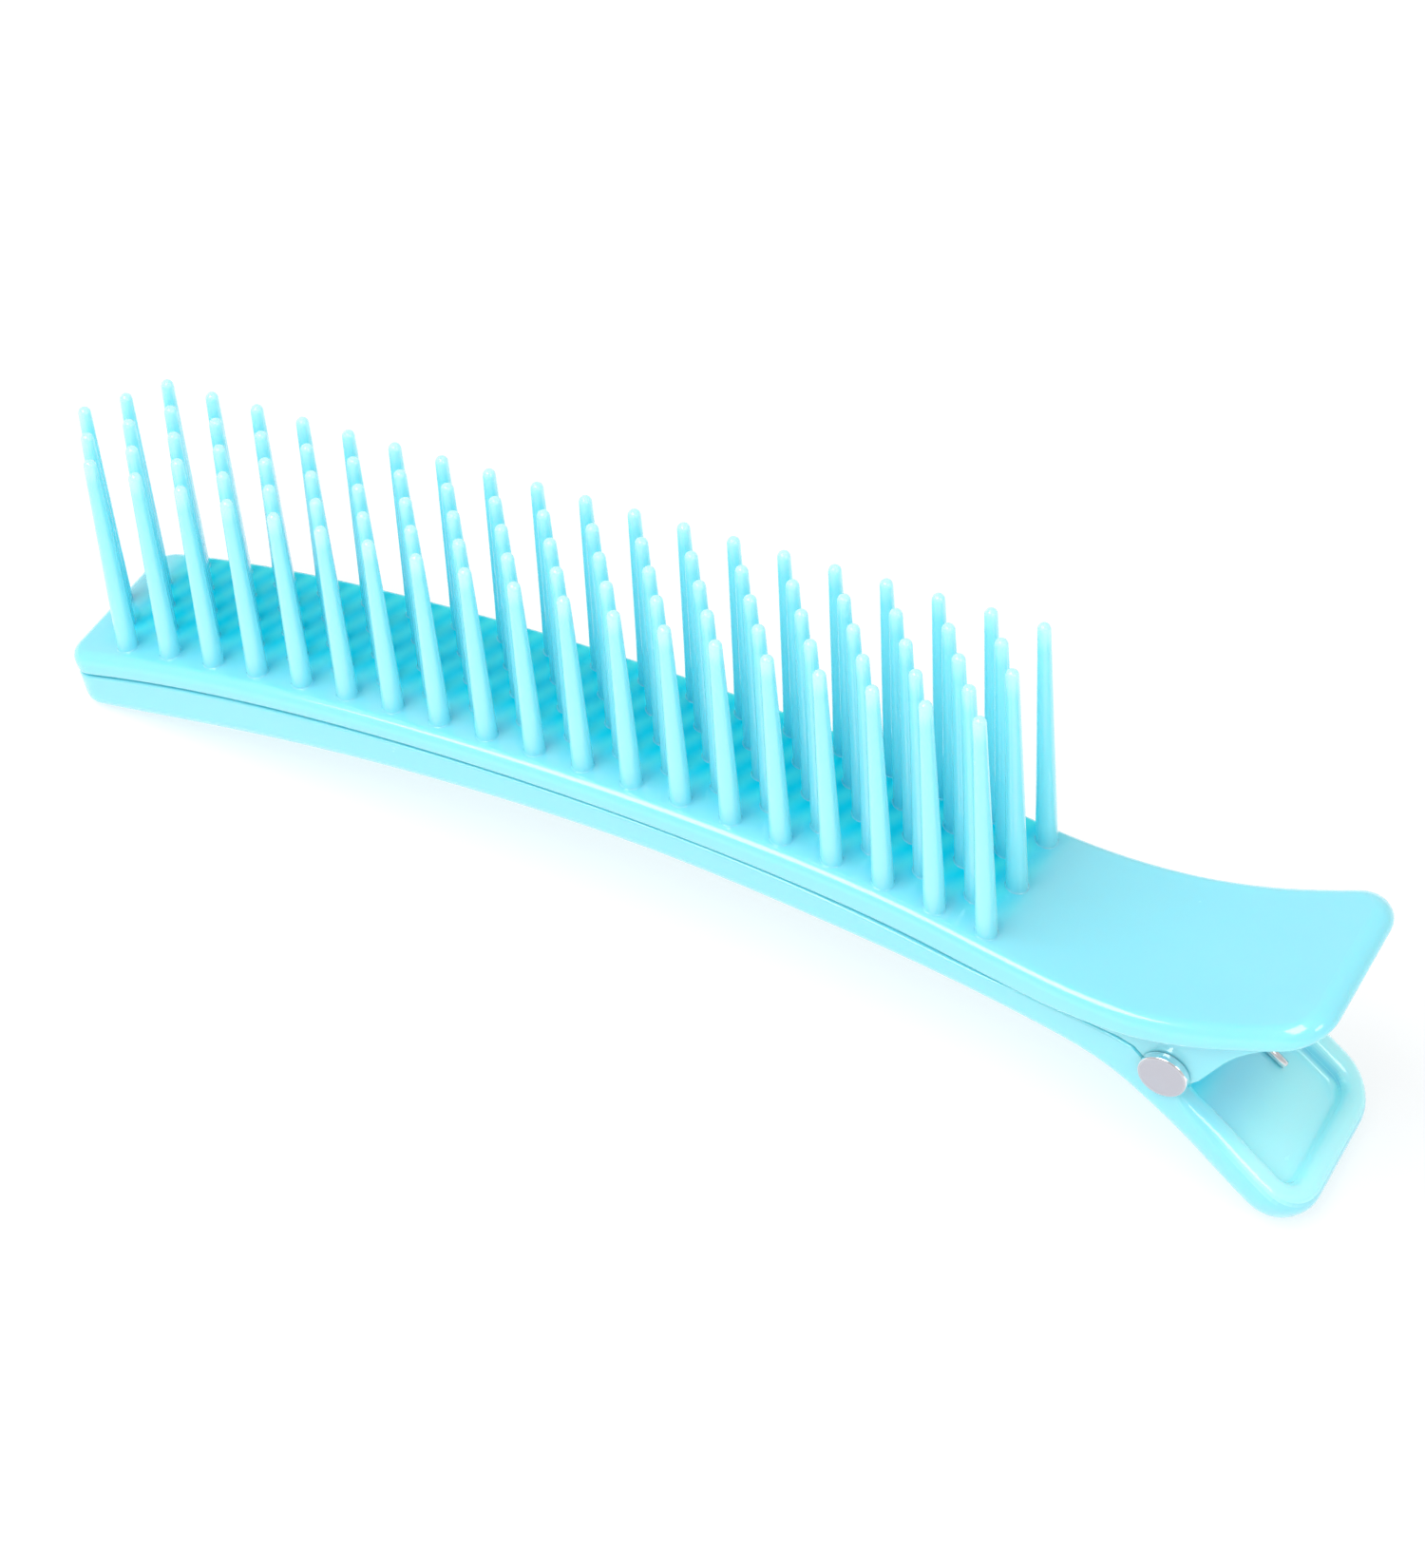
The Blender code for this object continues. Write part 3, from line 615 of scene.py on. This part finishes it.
def lower_arm():
    """Lower jaw with its channel and ribs, cheeks and dished lever as one moulding."""
    top, bottom = SideLine(COMB_ARM_TOP), SideLine(LOWER_ARM_BOTTOM)
    half_width = along(LOWER_ARM_HALF_WIDTH)
    height = lower_arm_height(bottom, top, along(COMB_ARM_THICKNESS))
    outline = plan_outline(bottom, half_width, TIP_CORNER_RADIUS, LOWER_LEVER_CORNER_RADIUS)

    def in_lever(x):
        return ramp(x, *SECTION_CHANGE)

    def wall(x):
        return JAW_WALL + (LEVER_RIM_WIDTH - JAW_WALL) * in_lever(x)

    def floor(x):
        return JAW_FLOOR + (LEVER_FLOOR - JAW_FLOOR) * in_lever(x)

    def rim(x):
        return RIM_FILLET + (LEVER_RIM_FILLET - RIM_FILLET) * in_lever(x)

    def edge(x):
        return LOWER_EDGE_FILLET + (LEVER_EDGE_FILLET - LOWER_EDGE_FILLET) * in_lever(x)

    rings = fillet_rings(edge, -QUARTER, 0.0, 8)
    rings += fillet_rings(rim, 0.0, QUARTER, 6, lambda x: height(x) - rim(x))
    rings += inner_rim_rings(rim, wall, height)
    rings += floor_rings(wall, floor)
    arm = ringed_slab("lower_arm_moulding", bottom, outline, rings)
    for i in range(RIB_COUNT):
        combine(arm, grip_rib(bottom, height, FIRST_RIB_X + RIB_PITCH * i), "UNION")
    for side in (-1, 1):
        cheek_planes = sorted((side * CHEEK_INNER, side * (CHEEK_OUTER + CHEEK_SPARE)))
        combine(arm, extruded("cheek", cheek_outline(), *cheek_planes), "UNION")
        ear_room = sorted((side * CHEEK_OUTER, side * BEYOND_SIDES))
        combine(arm, extruded("ear_room", ear_room_outline(), *ear_room), "DIFFERENCE")
    drill_bore(arm)
    return arm


def inner_rim_rings(rim, wall, height):
    """Rings from the rim's crest round its inner edge to the channel's wall."""

    def ring(angle):
        over, down = math.sin(angle), 1 - math.cos(angle)
        return (
            lambda x: wall(x) - INNER_RIM_SHARE * rim(x) * (1 - over),
            lambda x: height(x) - INNER_RIM_SHARE * rim(x) * down,
        )

    return [ring(angle) for angle in evenly(0.0, QUARTER, 8)]


def floor_rings(wall, floor):
    """Rings round the cove between the channel's wall and its floor."""

    def ring(angle):
        over, up = 1 - math.cos(angle), 1 - math.sin(angle)
        return (
            lambda x: wall(x) + CHANNEL_DRAFT + FLOOR_COVE * over,
            lambda x: floor(x) + FLOOR_COVE * up,
        )

    return [ring(angle) for angle in evenly(0.0, QUARTER, 8)]


def grip_rib(bottom, height, x):
    """A low wall across the lower jaw's channel, square to its floor."""
    s, half = bottom.s_at(x), RIB_THICKNESS / 2
    low, high = JAW_FLOOR - RIB_ROOT, height(x) - RIB_BELOW_RIM
    crest = [(half, RIB_CREST), (half - RIB_CREST_MIDDLE, RIB_CREST_MIDDLE), (half - RIB_CREST, 0.0)]
    ends = [(-half, low), (half, low)]
    ends += [(shift, high - drop) for shift, drop in crest]
    ends += [(-shift, high - drop) for shift, drop in reversed(crest)]
    corners = [bottom.point(s + shift, rise) for shift, rise in ends]
    reach = SIDE_PLANE - JAW_WALL + RIB_ROOT
    return extruded("rib", corners, -reach, reach)


def cheek_outline():
    """Side view of an inner cheek: round over the pivot, and down into the lower arm's floor."""
    return [*arc(CHEEK_RADIUS, *CHEEK_CROWN, 40), *CHEEK_ROOT]


def ear_room_outline():
    """Side view of the space that the comb arm's ear turns in."""
    radius = EAR_RADIUS + EAR_RIM_GAP
    open_rear = EAR_REAR_ANGLE - EAR_TURNS_BY
    round_room = arc(radius, EAR_ROOM_START, math.radians(270) + open_rear, 32)
    edge_x, edge_z = round_room[-1]
    edge_end = (EAR_ROOM_END_X, edge_z + (EAR_ROOM_END_X - edge_x) * math.tan(open_rear))
    skirt_room = [(x - SKIRT_ROOM, z - JAW_GAP) for x, z in SKIRT_EDGE]
    over = [(EAR_ROOM_END_X, EAR_ROOM_TOP), (SKIRT_EDGE[0][0], EAR_ROOM_TOP)]
    return [*skirt_room, *round_room, edge_end, *over]


# ---------------------------------------------------------------- rivet, cap and spring

def head_profile(seat, face):
    """(y, radius) from a rivet head's seat over its rounded edge to its slightly domed face."""
    away = 1.0 if face > seat else -1.0
    profile = [(seat, HEAD_RADIUS - HEAD_SEAT_INSET), (seat + HEAD_SEAT_BEVEL * away, HEAD_RADIUS)]
    for angle in evenly(0.0, QUARTER, 6):
        y = face - away * HEAD_EDGE * (1 - math.sin(angle))
        profile.append((y, HEAD_RADIUS - HEAD_EDGE * (1 - math.cos(angle))))
    dome_radius = HEAD_RADIUS - HEAD_EDGE - HEAD_LAND
    profile.append((face, dome_radius))
    for share in (0.92, 0.8, 0.6, 0.4, 0.2, 0.05):
        rise = HEAD_DOME * (1 - share * share)
        profile.append((face + away * (rise - 0.5 * HEAD_DOME), dome_radius * share))
    return profile


def rivet():
    """The rivet: its head in front and its shank through both arms."""
    seat = -(SIDE_PLANE + HEAD_SEAT_GAP)
    shank_end = SIDE_PLANE + HEAD_SEAT_GAP + CAP_SOCKET_DEPTH - CAP_SOCKET_SPARE
    profile = head_profile(seat, seat - HEAD_HEIGHT)[::-1]
    profile += [(seat, SHANK_RADIUS), (shank_end - SHANK_CHAMFER, SHANK_RADIUS)]
    profile.append((shank_end, SHANK_RADIUS - SHANK_CHAMFER))
    return turned("rivet_plated", profile)


def rivet_cap():
    """The far-side cap over the shank's end."""
    seat = SIDE_PLANE + HEAD_SEAT_GAP
    socket = SHANK_RADIUS + RUNNING_CLEARANCE
    profile = [(seat + CAP_SOCKET_DEPTH, socket), (seat, socket)]
    profile += head_profile(seat, seat + HEAD_HEIGHT)
    return turned("rivet_cap_plated", profile)


def spring_route():
    """Centre line of the torsion spring: lower leg, coil round the pivot, upper leg."""
    start = LOWER_LEG_ANGLE - QUARTER
    end = UPPER_LEG_ANGLE + QUARTER - 2 * math.pi * (COIL_TURNS + 1)
    steps = 40 * COIL_TURNS
    coil = []
    for i, (x, z) in enumerate(arc(COIL_RADIUS, start, end, steps)):
        coil.append((x, COIL_HALF_LENGTH * (1 - 2 * i / steps), z))
    lower = leg(coil[0], LOWER_LEG_ANGLE, LOWER_LEG_LENGTH)
    upper = leg(coil[-1], UPPER_LEG_ANGLE, UPPER_LEG_LENGTH)
    return lower[::-1] + coil + upper


def leg(start, angle, length, steps=6):
    """Points down a straight leg that leaves the coil at `start`."""
    x, y, z = start
    reaches = evenly(0.0, length, steps)[1:]
    return [(x + reach * math.cos(angle), y, z + reach * math.sin(angle)) for reach in reaches]


def directions(route):
    """Which way the route runs at each of its points."""
    last = len(route) - 1
    ahead = [route[min(i + 1, last)] for i in range(last + 1)]
    behind = [route[max(i - 1, 0)] for i in range(last + 1)]
    return [(to - since).normalized() for to, since in zip(ahead, behind)]


def spring():
    """The wire, swept along the spring's centre line with slightly broken end edges."""
    route = [Vector(spot) for spot in spring_route()]
    tangents = directions(route)
    across = tangents[0].orthogonal().normalized()
    layers = []
    for i, (spot, tangent) in enumerate(zip(route, tangents)):
        across = (across - tangent * across.dot(tangent)).normalized()
        other = tangent.cross(across)
        widths = [(0.0, 1.0)]
        if i == 0:
            widths = [(0.0, WIRE_END_WIDTH), (WIRE_END_BEVEL, 1.0)]
        elif i == len(route) - 1:
            widths = [(-WIRE_END_BEVEL, 1.0), (0.0, WIRE_END_WIDTH)]
        for shift, width in widths:
            centre = spot + tangent * shift
            ring = circle(WIRE_DIAMETER / 2 * width, WIRE_SIDES)
            layers.append([centre + across * a + other * b for a, b in ring])
    return layered("spring_wire", layers)


# ---------------------------------------------------------------- materials

BODY_DARK = (0.250, 0.770, 0.895, 1.0)
BODY_LIGHT = (0.275, 0.805, 0.930, 1.0)
# Painted light: the teeth drawn paler, and their tips paler still, as if lit through the thin plastic
BODY_TOOTH_PAINTED_LIGHT = (0.340, 0.840, 0.930, 1.0)
BODY_TIP_PAINTED_LIGHT = (0.520, 0.920, 0.960, 1.0)
# Painted shade: the plate among the teeth, in darker and lighter bands where the rows shade each other
BODY_DARKER_PAINTED_SHADE = (0.002, 0.800, 1.000, 1.0)
BODY_LIGHTER_PAINTED_SHADE = (0.080, 0.900, 1.000, 1.0)
# Painted light: the lower lever's dish drawn lighter
BODY_DISH_PAINTED_LIGHT = (0.480, 0.970, 1.000, 1.0)
# Painted glow: the shaded plate, the teeth and the dish give off a faint light, though none of them is
# a lamp
PAINTED_GLOW_COLOUR = (0.0, 0.70, 1.00, 1.0)
PAINTED_GLOW_STRENGTH = 0.1
SHADE_PAINTED_GLOW = 0.5
DISH_PAINTED_GLOW = 0.8
FLOW_STRETCH = (0.35, 1.0, 1.0)

HEAD_FACE_COLOUR = (0.565, 0.555, 0.610, 1.0)
HEAD_EDGE_COLOUR = (0.580, 0.580, 0.620, 1.0)
HEAD_WALL_COLOUR = (0.880, 0.880, 0.900, 1.0)
WIRE_DARK = (0.600, 0.610, 0.630, 1.0)
WIRE_LIGHT = (0.800, 0.810, 0.830, 1.0)

# Where shade is painted on the plate, among the teeth, in bands where the rows shade each other. Each
# pair tells where it starts and where it is full, in millimetres on the clip's own axes, or by how far
# a face looks up
PAINTED_SHADE_FROM_TIP = (-107.5, -103.0)
PAINTED_SHADE_FROM_LEVER = (-14.5, -19.5)
PAINTED_SHADE_FROM_FRONT = (-7.0, -1.5)
PAINTED_SHADE_FROM_BELOW = (4.5, 5.5)
PAINTED_SHADE_FACES_UP = (0.75, 0.95)
BAND_PITCH = 2.4
BAND_SLANT = 0.42

# Where shade is painted inside the hinge, told in the same way: by the distance from the axis and from
# the clip's middle plane, and by the height
HINGE_REACH = (7.0, 3.5)
HINGE_SIDES = (7.4, 6.4)
HINGE_TOP = (4.6, 3.4)

# Where light is painted on in the lower lever's dish
DISH_FROM_PIVOT = (3.0, 9.0)
DISH_BELOW_PIVOT = (-1.0, -4.0)
DISH_FACES_UP = (0.3, 0.7)

# Distances from the rivet's axis at which its head turns from face to edge and from edge to wall
HEAD_EDGE_STARTS = (1.94, 2.02)
HEAD_WALL_STARTS = (2.10, 2.17)

# Least angle of an edge that stays sharp
MOULDED_SHARP_DEGREES = 38.0
WIRE_SHARP_DEGREES = 50.0


def shader_tree(name):
    """A new material, its node tree and its principled shader."""
    material = bpy.data.materials.new(name)
    material.use_nodes = True
    tree = material.node_tree
    return material, tree, tree.nodes["Principled BSDF"]


def fill(tree, made, inputs):
    """Fills in a node's inputs; an input may be another node's output."""
    for key, value in inputs.items():
        if isinstance(value, bpy.types.NodeSocket):
            tree.links.new(value, made.inputs[key])
        else:
            made.inputs[key].default_value = value


def node(tree, kind, inputs=None, **settings):
    """A new node with its settings and inputs filled in."""
    made = tree.nodes.new(kind)
    for key, value in settings.items():
        setattr(made, key, value)
    fill(tree, made, inputs or {})
    return made


def noise(tree, coordinates, scale, detail=3.0, roughness=0.5):
    """Smooth noise from 0 to 1, of `scale` features per metre."""
    inputs = {"Vector": coordinates, "Scale": scale, "Detail": detail, "Roughness": roughness}
    return node(tree, "ShaderNodeTexNoise", inputs).outputs["Fac"]


def bump(tree, height, strength, depth, under=None):
    """A normal from a height that varies by `depth` millimetres, over another normal if given."""
    inputs = {"Height": height, "Strength": strength, "Distance": depth * MM}
    if under is not None:
        inputs["Normal"] = under
    return node(tree, "ShaderNodeBump", inputs).outputs[0]


def between(tree, value, low, high):
    """`value` from 0..1 mapped to low..high."""
    inputs = {"Value": value, "To Min": low, "To Max": high}
    return node(tree, "ShaderNodeMapRange", inputs).outputs["Result"]


def risen(tree, value, start, end, curve="SMOOTHSTEP"):
    """0 before start and 1 after end; start may lie after end to turn it round."""
    inputs = {"Value": value, "From Min": start, "From Max": end}
    return node(tree, "ShaderNodeMapRange", inputs, interpolation_type=curve).outputs["Result"]


def risen_at(tree, place, start, end, curve="SMOOTHSTEP"):
    """`risen` for a length in the scene, with start and end in millimetres."""
    return risen(tree, place, start * MM, end * MM, curve)


def mixed(tree, share, colour_a, colour_b):
    """colour_a where share is 0, and colour_b where it is 1."""
    inputs = {0: share, 6: colour_a, 7: colour_b}
    return node(tree, "ShaderNodeMix", inputs, data_type="RGBA").outputs[2]


def maths(tree, operation, *values):
    """The result of an operation on shader values."""
    return node(tree, "ShaderNodeMath", dict(enumerate(values)), operation=operation).outputs[0]


def product(tree, *factors):
    """The product of shader values."""
    total = factors[0]
    for factor in factors[1:]:
        total = maths(tree, "MULTIPLY", total, factor)
    return total


def vector_maths(tree, operation, *values):
    """The outputs of an operation on shader vectors."""
    return node(tree, "ShaderNodeVectorMath", dict(enumerate(values)), operation=operation).outputs


def attribute(tree, name):
    """A value that is stored on the mesh's points, or 0 where the mesh has none."""
    return node(tree, "ShaderNodeAttribute", attribute_name=name).outputs["Fac"]


def rest_place(tree):
    """Where a point is with the clip at rest: in the scene, and as measured from the pivot."""
    place = node(tree, "ShaderNodeTexCoord").outputs["Object"]
    return place, vector_maths(tree, "SUBTRACT", place, PIVOT)["Vector"]


def clip_axes(tree, away):
    """Position on the clip's own axes, with the tilt taken out."""
    turn = {"Vector": away, "Angle": -CLIP_TILT}
    level = node(tree, "ShaderNodeVectorRotate", turn, rotation_type="Y_AXIS").outputs[0]
    return node(tree, "ShaderNodeSeparateXYZ", {0: level}).outputs


def axis_distance(tree, away):
    """Distance from the pivot's axis."""
    flat = vector_maths(tree, "MULTIPLY", away, (1.0, 0.0, 1.0))["Vector"]
    return vector_maths(tree, "LENGTH", flat)["Value"]


def upward(tree):
    """How far a face looks up when the clip is closed: 1 straight up, -1 straight down."""
    spaces = {"vector_type": "NORMAL", "convert_from": "WORLD", "convert_to": "OBJECT"}
    normal = node(tree, "ShaderNodeNewGeometry").outputs["True Normal"]
    own = node(tree, "ShaderNodeVectorTransform", {"Vector": normal}, **spaces).outputs[0]
    return node(tree, "ShaderNodeSeparateXYZ", {0: own}).outputs["Z"]


def tooth_shade(tree, axes):
    """Soft bands across the plate, where the rows of teeth shade each other: 0 light to 1 dark."""
    slant = maths(tree, "MULTIPLY_ADD", axes["Y"], -BAND_SLANT, axes["X"])
    wave = maths(tree, "SINE", product(tree, slant, 2 * math.pi / (BAND_PITCH * MM)))
    return risen(tree, wave, -1.0, 1.0, "LINEAR")


def painted_shade_mask(tree, away, axes):
    """Painted shade: among the teeth's feet, and inside the hinge."""
    comb = product(
        tree,
        attribute(tree, "toothed"),
        risen_at(tree, axes["X"], *PAINTED_SHADE_FROM_TIP),
        risen_at(tree, axes["X"], *PAINTED_SHADE_FROM_LEVER),
        risen_at(tree, axes["Y"], *PAINTED_SHADE_FROM_FRONT),
        risen(tree, upward(tree), *PAINTED_SHADE_FACES_UP),
        risen_at(tree, axes["Z"], *PAINTED_SHADE_FROM_BELOW),
    )
    hinge = product(
        tree,
        risen_at(tree, axis_distance(tree, away), *HINGE_REACH),
        risen_at(tree, maths(tree, "ABSOLUTE", axes["Y"]), *HINGE_SIDES),
        risen_at(tree, axes["Z"], *HINGE_TOP),
    )
    return maths(tree, "MAXIMUM", comb, hinge)


def painted_dish_light(tree, axes):
    """The lower lever's dish, where light is painted on."""
    return product(
        tree,
        risen_at(tree, axes["X"], *DISH_FROM_PIVOT),
        risen_at(tree, axes["Z"], *DISH_BELOW_PIVOT),
        risen(tree, upward(tree), *DISH_FACES_UP),
    )


def moulded_plastic(name):
    """Glossy, slightly translucent aqua plastic with faint flow and polish marks, with painted shade
    among the teeth and in the hinge, painted light on the teeth and in the lever's dish, and a faint
    painted glow.
    """
    material, tree, shader = shader_tree(name)
    place, away = rest_place(tree)
    flow = node(tree, "ShaderNodeMapping", {"Vector": place, "Scale": FLOW_STRETCH}).outputs[0]
    axes = clip_axes(tree, away)
    # Painted light on the teeth, stored on the mesh's points
    pale = attribute(tree, "pale")
    # Painted shade among the teeth and inside the hinge
    painted_shade = painted_shade_mask(tree, away, axes)
    # Painted light in the lower lever's dish
    dish = painted_dish_light(tree, axes)

    body = mixed(tree, noise(tree, flow, 130.0, 2.0), BODY_DARK, BODY_LIGHT)
    banded = mixed(tree, tooth_shade(tree, axes), BODY_LIGHTER_PAINTED_SHADE, BODY_DARKER_PAINTED_SHADE)
    surface = mixed(tree, painted_shade, mixed(tree, dish, body, BODY_DISH_PAINTED_LIGHT), banded)
    tooth_colour = mixed(tree, risen(tree, pale, 0.0, SHAFT_PALENESS), surface, BODY_TOOTH_PAINTED_LIGHT)
    colour = mixed(tree, risen(tree, pale, SHAFT_PALENESS, 1.0), tooth_colour, BODY_TIP_PAINTED_LIGHT)

    # Painted glow where shade or light is painted, though the plastic is no lamp
    shade_glow = product(tree, painted_shade, SHADE_PAINTED_GLOW)
    dish_glow = product(tree, dish, DISH_PAINTED_GLOW)
    light = maths(tree, "MAXIMUM", maths(tree, "MAXIMUM", shade_glow, pale), dish_glow)
    swell = bump(tree, noise(tree, flow, 240.0, 1.0), 0.12, 0.25)
    fill(tree, shader, {
        "Base Color": colour,
        "Roughness": between(tree, noise(tree, place, 420.0, 4.0, 0.6), 0.20, 0.30),
        "IOR": 1.49,
        # Less shine where shade is painted
        "Specular IOR Level": between(tree, painted_shade, 0.5, 0.1),
        "Coat Weight": between(tree, painted_shade, 0.9, 0.1),
        "Coat Roughness": 0.06,
        "Coat IOR": 1.75,
        "Subsurface Weight": 0.5,
        "Subsurface Radius": (0.25, 0.9, 1.0),
        "Subsurface Scale": 2.0 * MM,
        "Emission Color": PAINTED_GLOW_COLOUR,
        "Emission Strength": between(tree, light, 0.0, PAINTED_GLOW_STRENGTH),
        "Normal": bump(tree, noise(tree, place, 5200.0, 2.0), 0.06, 0.03, swell),
    })
    return material


def plated_metal(name):
    """Bright nickel plating: a satin face inside a polished edge."""
    material, tree, shader = shader_tree(name)
    place, away = rest_place(tree)
    reach = axis_distance(tree, away)
    edge = risen_at(tree, reach, *HEAD_EDGE_STARTS, "LINEAR")
    wall = risen_at(tree, reach, *HEAD_WALL_STARTS)
    mottle = noise(tree, place, 1500.0, 4.0, 0.6)
    satin, polished = between(tree, mottle, 0.34, 0.5), between(tree, mottle, 0.04, 0.08)
    scratches = node(tree, "ShaderNodeMapping", {"Vector": place, "Scale": (1.0, 1.0, 9.0)})
    rim_colour = mixed(tree, wall, HEAD_EDGE_COLOUR, HEAD_WALL_COLOUR)
    fill(tree, shader, {
        "Base Color": mixed(tree, edge, HEAD_FACE_COLOUR, rim_colour),
        "Metallic": 1.0,
        "Roughness": node(tree, "ShaderNodeMix", {0: edge, 2: satin, 3: polished}).outputs[0],
        "Normal": bump(tree, noise(tree, scratches.outputs[0], 1800.0, 3.0), 0.1, 0.02),
    })
    return material


def spring_steel(name):
    """Drawn wire: grey steel with fine lines."""
    material, tree, shader = shader_tree(name)
    place = node(tree, "ShaderNodeTexCoord").outputs["Object"]
    lines = noise(tree, place, 2600.0, 4.0, 0.65)
    fill(tree, shader, {
        "Base Color": mixed(tree, lines, WIRE_DARK, WIRE_LIGHT),
        "Metallic": 1.0,
        "Roughness": between(tree, lines, 0.10, 0.22),
        "Normal": bump(tree, lines, 0.15, 0.02),
    })
    return material


def dress(solid, material, sharp_degrees):
    """Gives a piece its material, smooth shading with flat faces, and its place at rest."""
    solid.data.materials.clear()
    solid.data.materials.append(material)
    solid.data.shade_smooth()
    solid.data.set_sharp_from_angle(angle=math.radians(sharp_degrees))
    weighted = solid.modifiers.new("flat_faces", "WEIGHTED_NORMAL")
    weighted.keep_sharp = True
    solid.data.transform(CLIP)
    return solid


# ---------------------------------------------------------------- pieces on their bodies

def place_pieces():
    """Builds the five pieces, puts the arms, rivet and cap on their bodies, leaves the spring's wire
    fixed in place, and hides the CAD node that each stands for.
    """
    plastic = moulded_plastic("aqua_plastic")
    plating = plated_metal("rivet_metal")
    steel = spring_steel("spring_steel")
    pieces = (
        (comb_arm(), plastic, "comb_jaw", "comb_arm", "aqua_plastic"),
        (lower_arm(), plastic, "lower_jaw", "lower_arm", "aqua_plastic"),
        (rivet(), plating, "comb_jaw", "pivot_rivet", "rivet_metal"),
        (rivet_cap(), plating, "comb_jaw", "rivet_cap", "rivet_metal"),
    )
    for solid, material, body, cad_node, slot in pieces:
        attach(dress(solid, material, MOULDED_SHARP_DEGREES), body)
        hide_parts(cad_node)
    wire = dress(spring(), steel, WIRE_SHARP_DEGREES)
    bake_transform(wire)
    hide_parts("torsion_spring")


# ---------------------------------------------------------------- stage, lights and camera

WHITE = (1.0, 1.0, 1.0, 1.0)
FLOOR_REACH = 3.0
FLOOR_GREY = (0.40, 0.40, 0.40, 1.0)
FLOOR_ROUGHNESS = 0.9
FLOOR_GLOW = 0.64
WORLD_GLOW = 0.67

# Lights in metres and watts: where each stands, its two sides and its power
LIGHTS_AIM = (0.0, 0.0, 0.015)
LIGHTS = {
    "key": ((-0.32, -0.42, 0.84), (0.8, 0.48), 5.4),
    "fill": ((0.6, -0.25, 0.52), (0.26, 0.26), 0.75),
}

# Camera in the clip's own frame; its back points away from what it looks at
CAMERA_SPOT = (90.108, -226.968, 255.122)
CAMERA_RIGHT = (0.88289, 0.46597, -0.05817)
CAMERA_BACK = (0.37560, -0.62638, 0.68306)
CAMERA_LENS = 96.371
CAMERA_SENSOR = 36.0
CAMERA_NEAR = 0.01
CAMERA_FAR = 20.0


def pale_floor():
    """A wide pale floor under the clip."""
    reach = FLOOR_REACH
    mesh = bpy.data.meshes.new("floor")
    corners = [(-reach, -reach, 0), (reach, -reach, 0), (reach, reach, 0), (-reach, reach, 0)]
    mesh.from_pydata(corners, [], [(0, 1, 2, 3)])
    floor = bpy.data.objects.new("floor", mesh)
    bpy.context.collection.objects.link(floor)
    material, tree, shader = shader_tree("floor_paper")
    fill(tree, shader, {
        "Base Color": FLOOR_GREY,
        "Roughness": FLOOR_ROUGHNESS,
        "Emission Color": WHITE,
        "Emission Strength": FLOOR_GLOW,
    })
    mesh.materials.append(material)


def soft_light(name, spot, size, watts):
    """A rectangular light that looks at the middle of the clip."""
    data = bpy.data.lights.new(name, "AREA")
    data.shape = "RECTANGLE"
    data.size, data.size_y = size
    data.energy = watts
    light = bpy.data.objects.new(name, data)
    light.location = spot
    light.rotation_mode = "QUATERNION"
    light.rotation_quaternion = (Vector(LIGHTS_AIM) - Vector(spot)).to_track_quat("-Z", "Y")
    bpy.context.collection.objects.link(light)


def studio():
    """An evenly lit white room with its soft lights."""
    world = bpy.data.worlds.new("studio")
    world.use_nodes = True
    background = world.node_tree.nodes["Background"]
    fill(world.node_tree, background, {"Color": WHITE, "Strength": WORLD_GLOW})
    bpy.context.scene.world = world
    for name, (spot, size, watts) in LIGHTS.items():
        soft_light(name, spot, size, watts)


def camera():
    """The camera, given in the clip's own frame and carried by its tilt."""
    right, back = Vector(CAMERA_RIGHT), Vector(CAMERA_BACK)
    turn = Matrix((right, back.cross(right), back)).transposed().to_4x4()
    data = bpy.data.cameras.new("camera")
    data.lens = CAMERA_LENS
    data.sensor_width = CAMERA_SENSOR
    data.clip_start, data.clip_end = CAMERA_NEAR, CAMERA_FAR
    eye = bpy.data.objects.new("camera", data)
    eye.matrix_world = CLIP @ Matrix.Translation(Vector(CAMERA_SPOT) * MM) @ turn
    bpy.context.collection.objects.link(eye)
    bpy.context.scene.camera = eye


bpy.context.scene.view_settings.view_transform = "Standard"
place_pieces()
pale_floor()
studio()
camera()
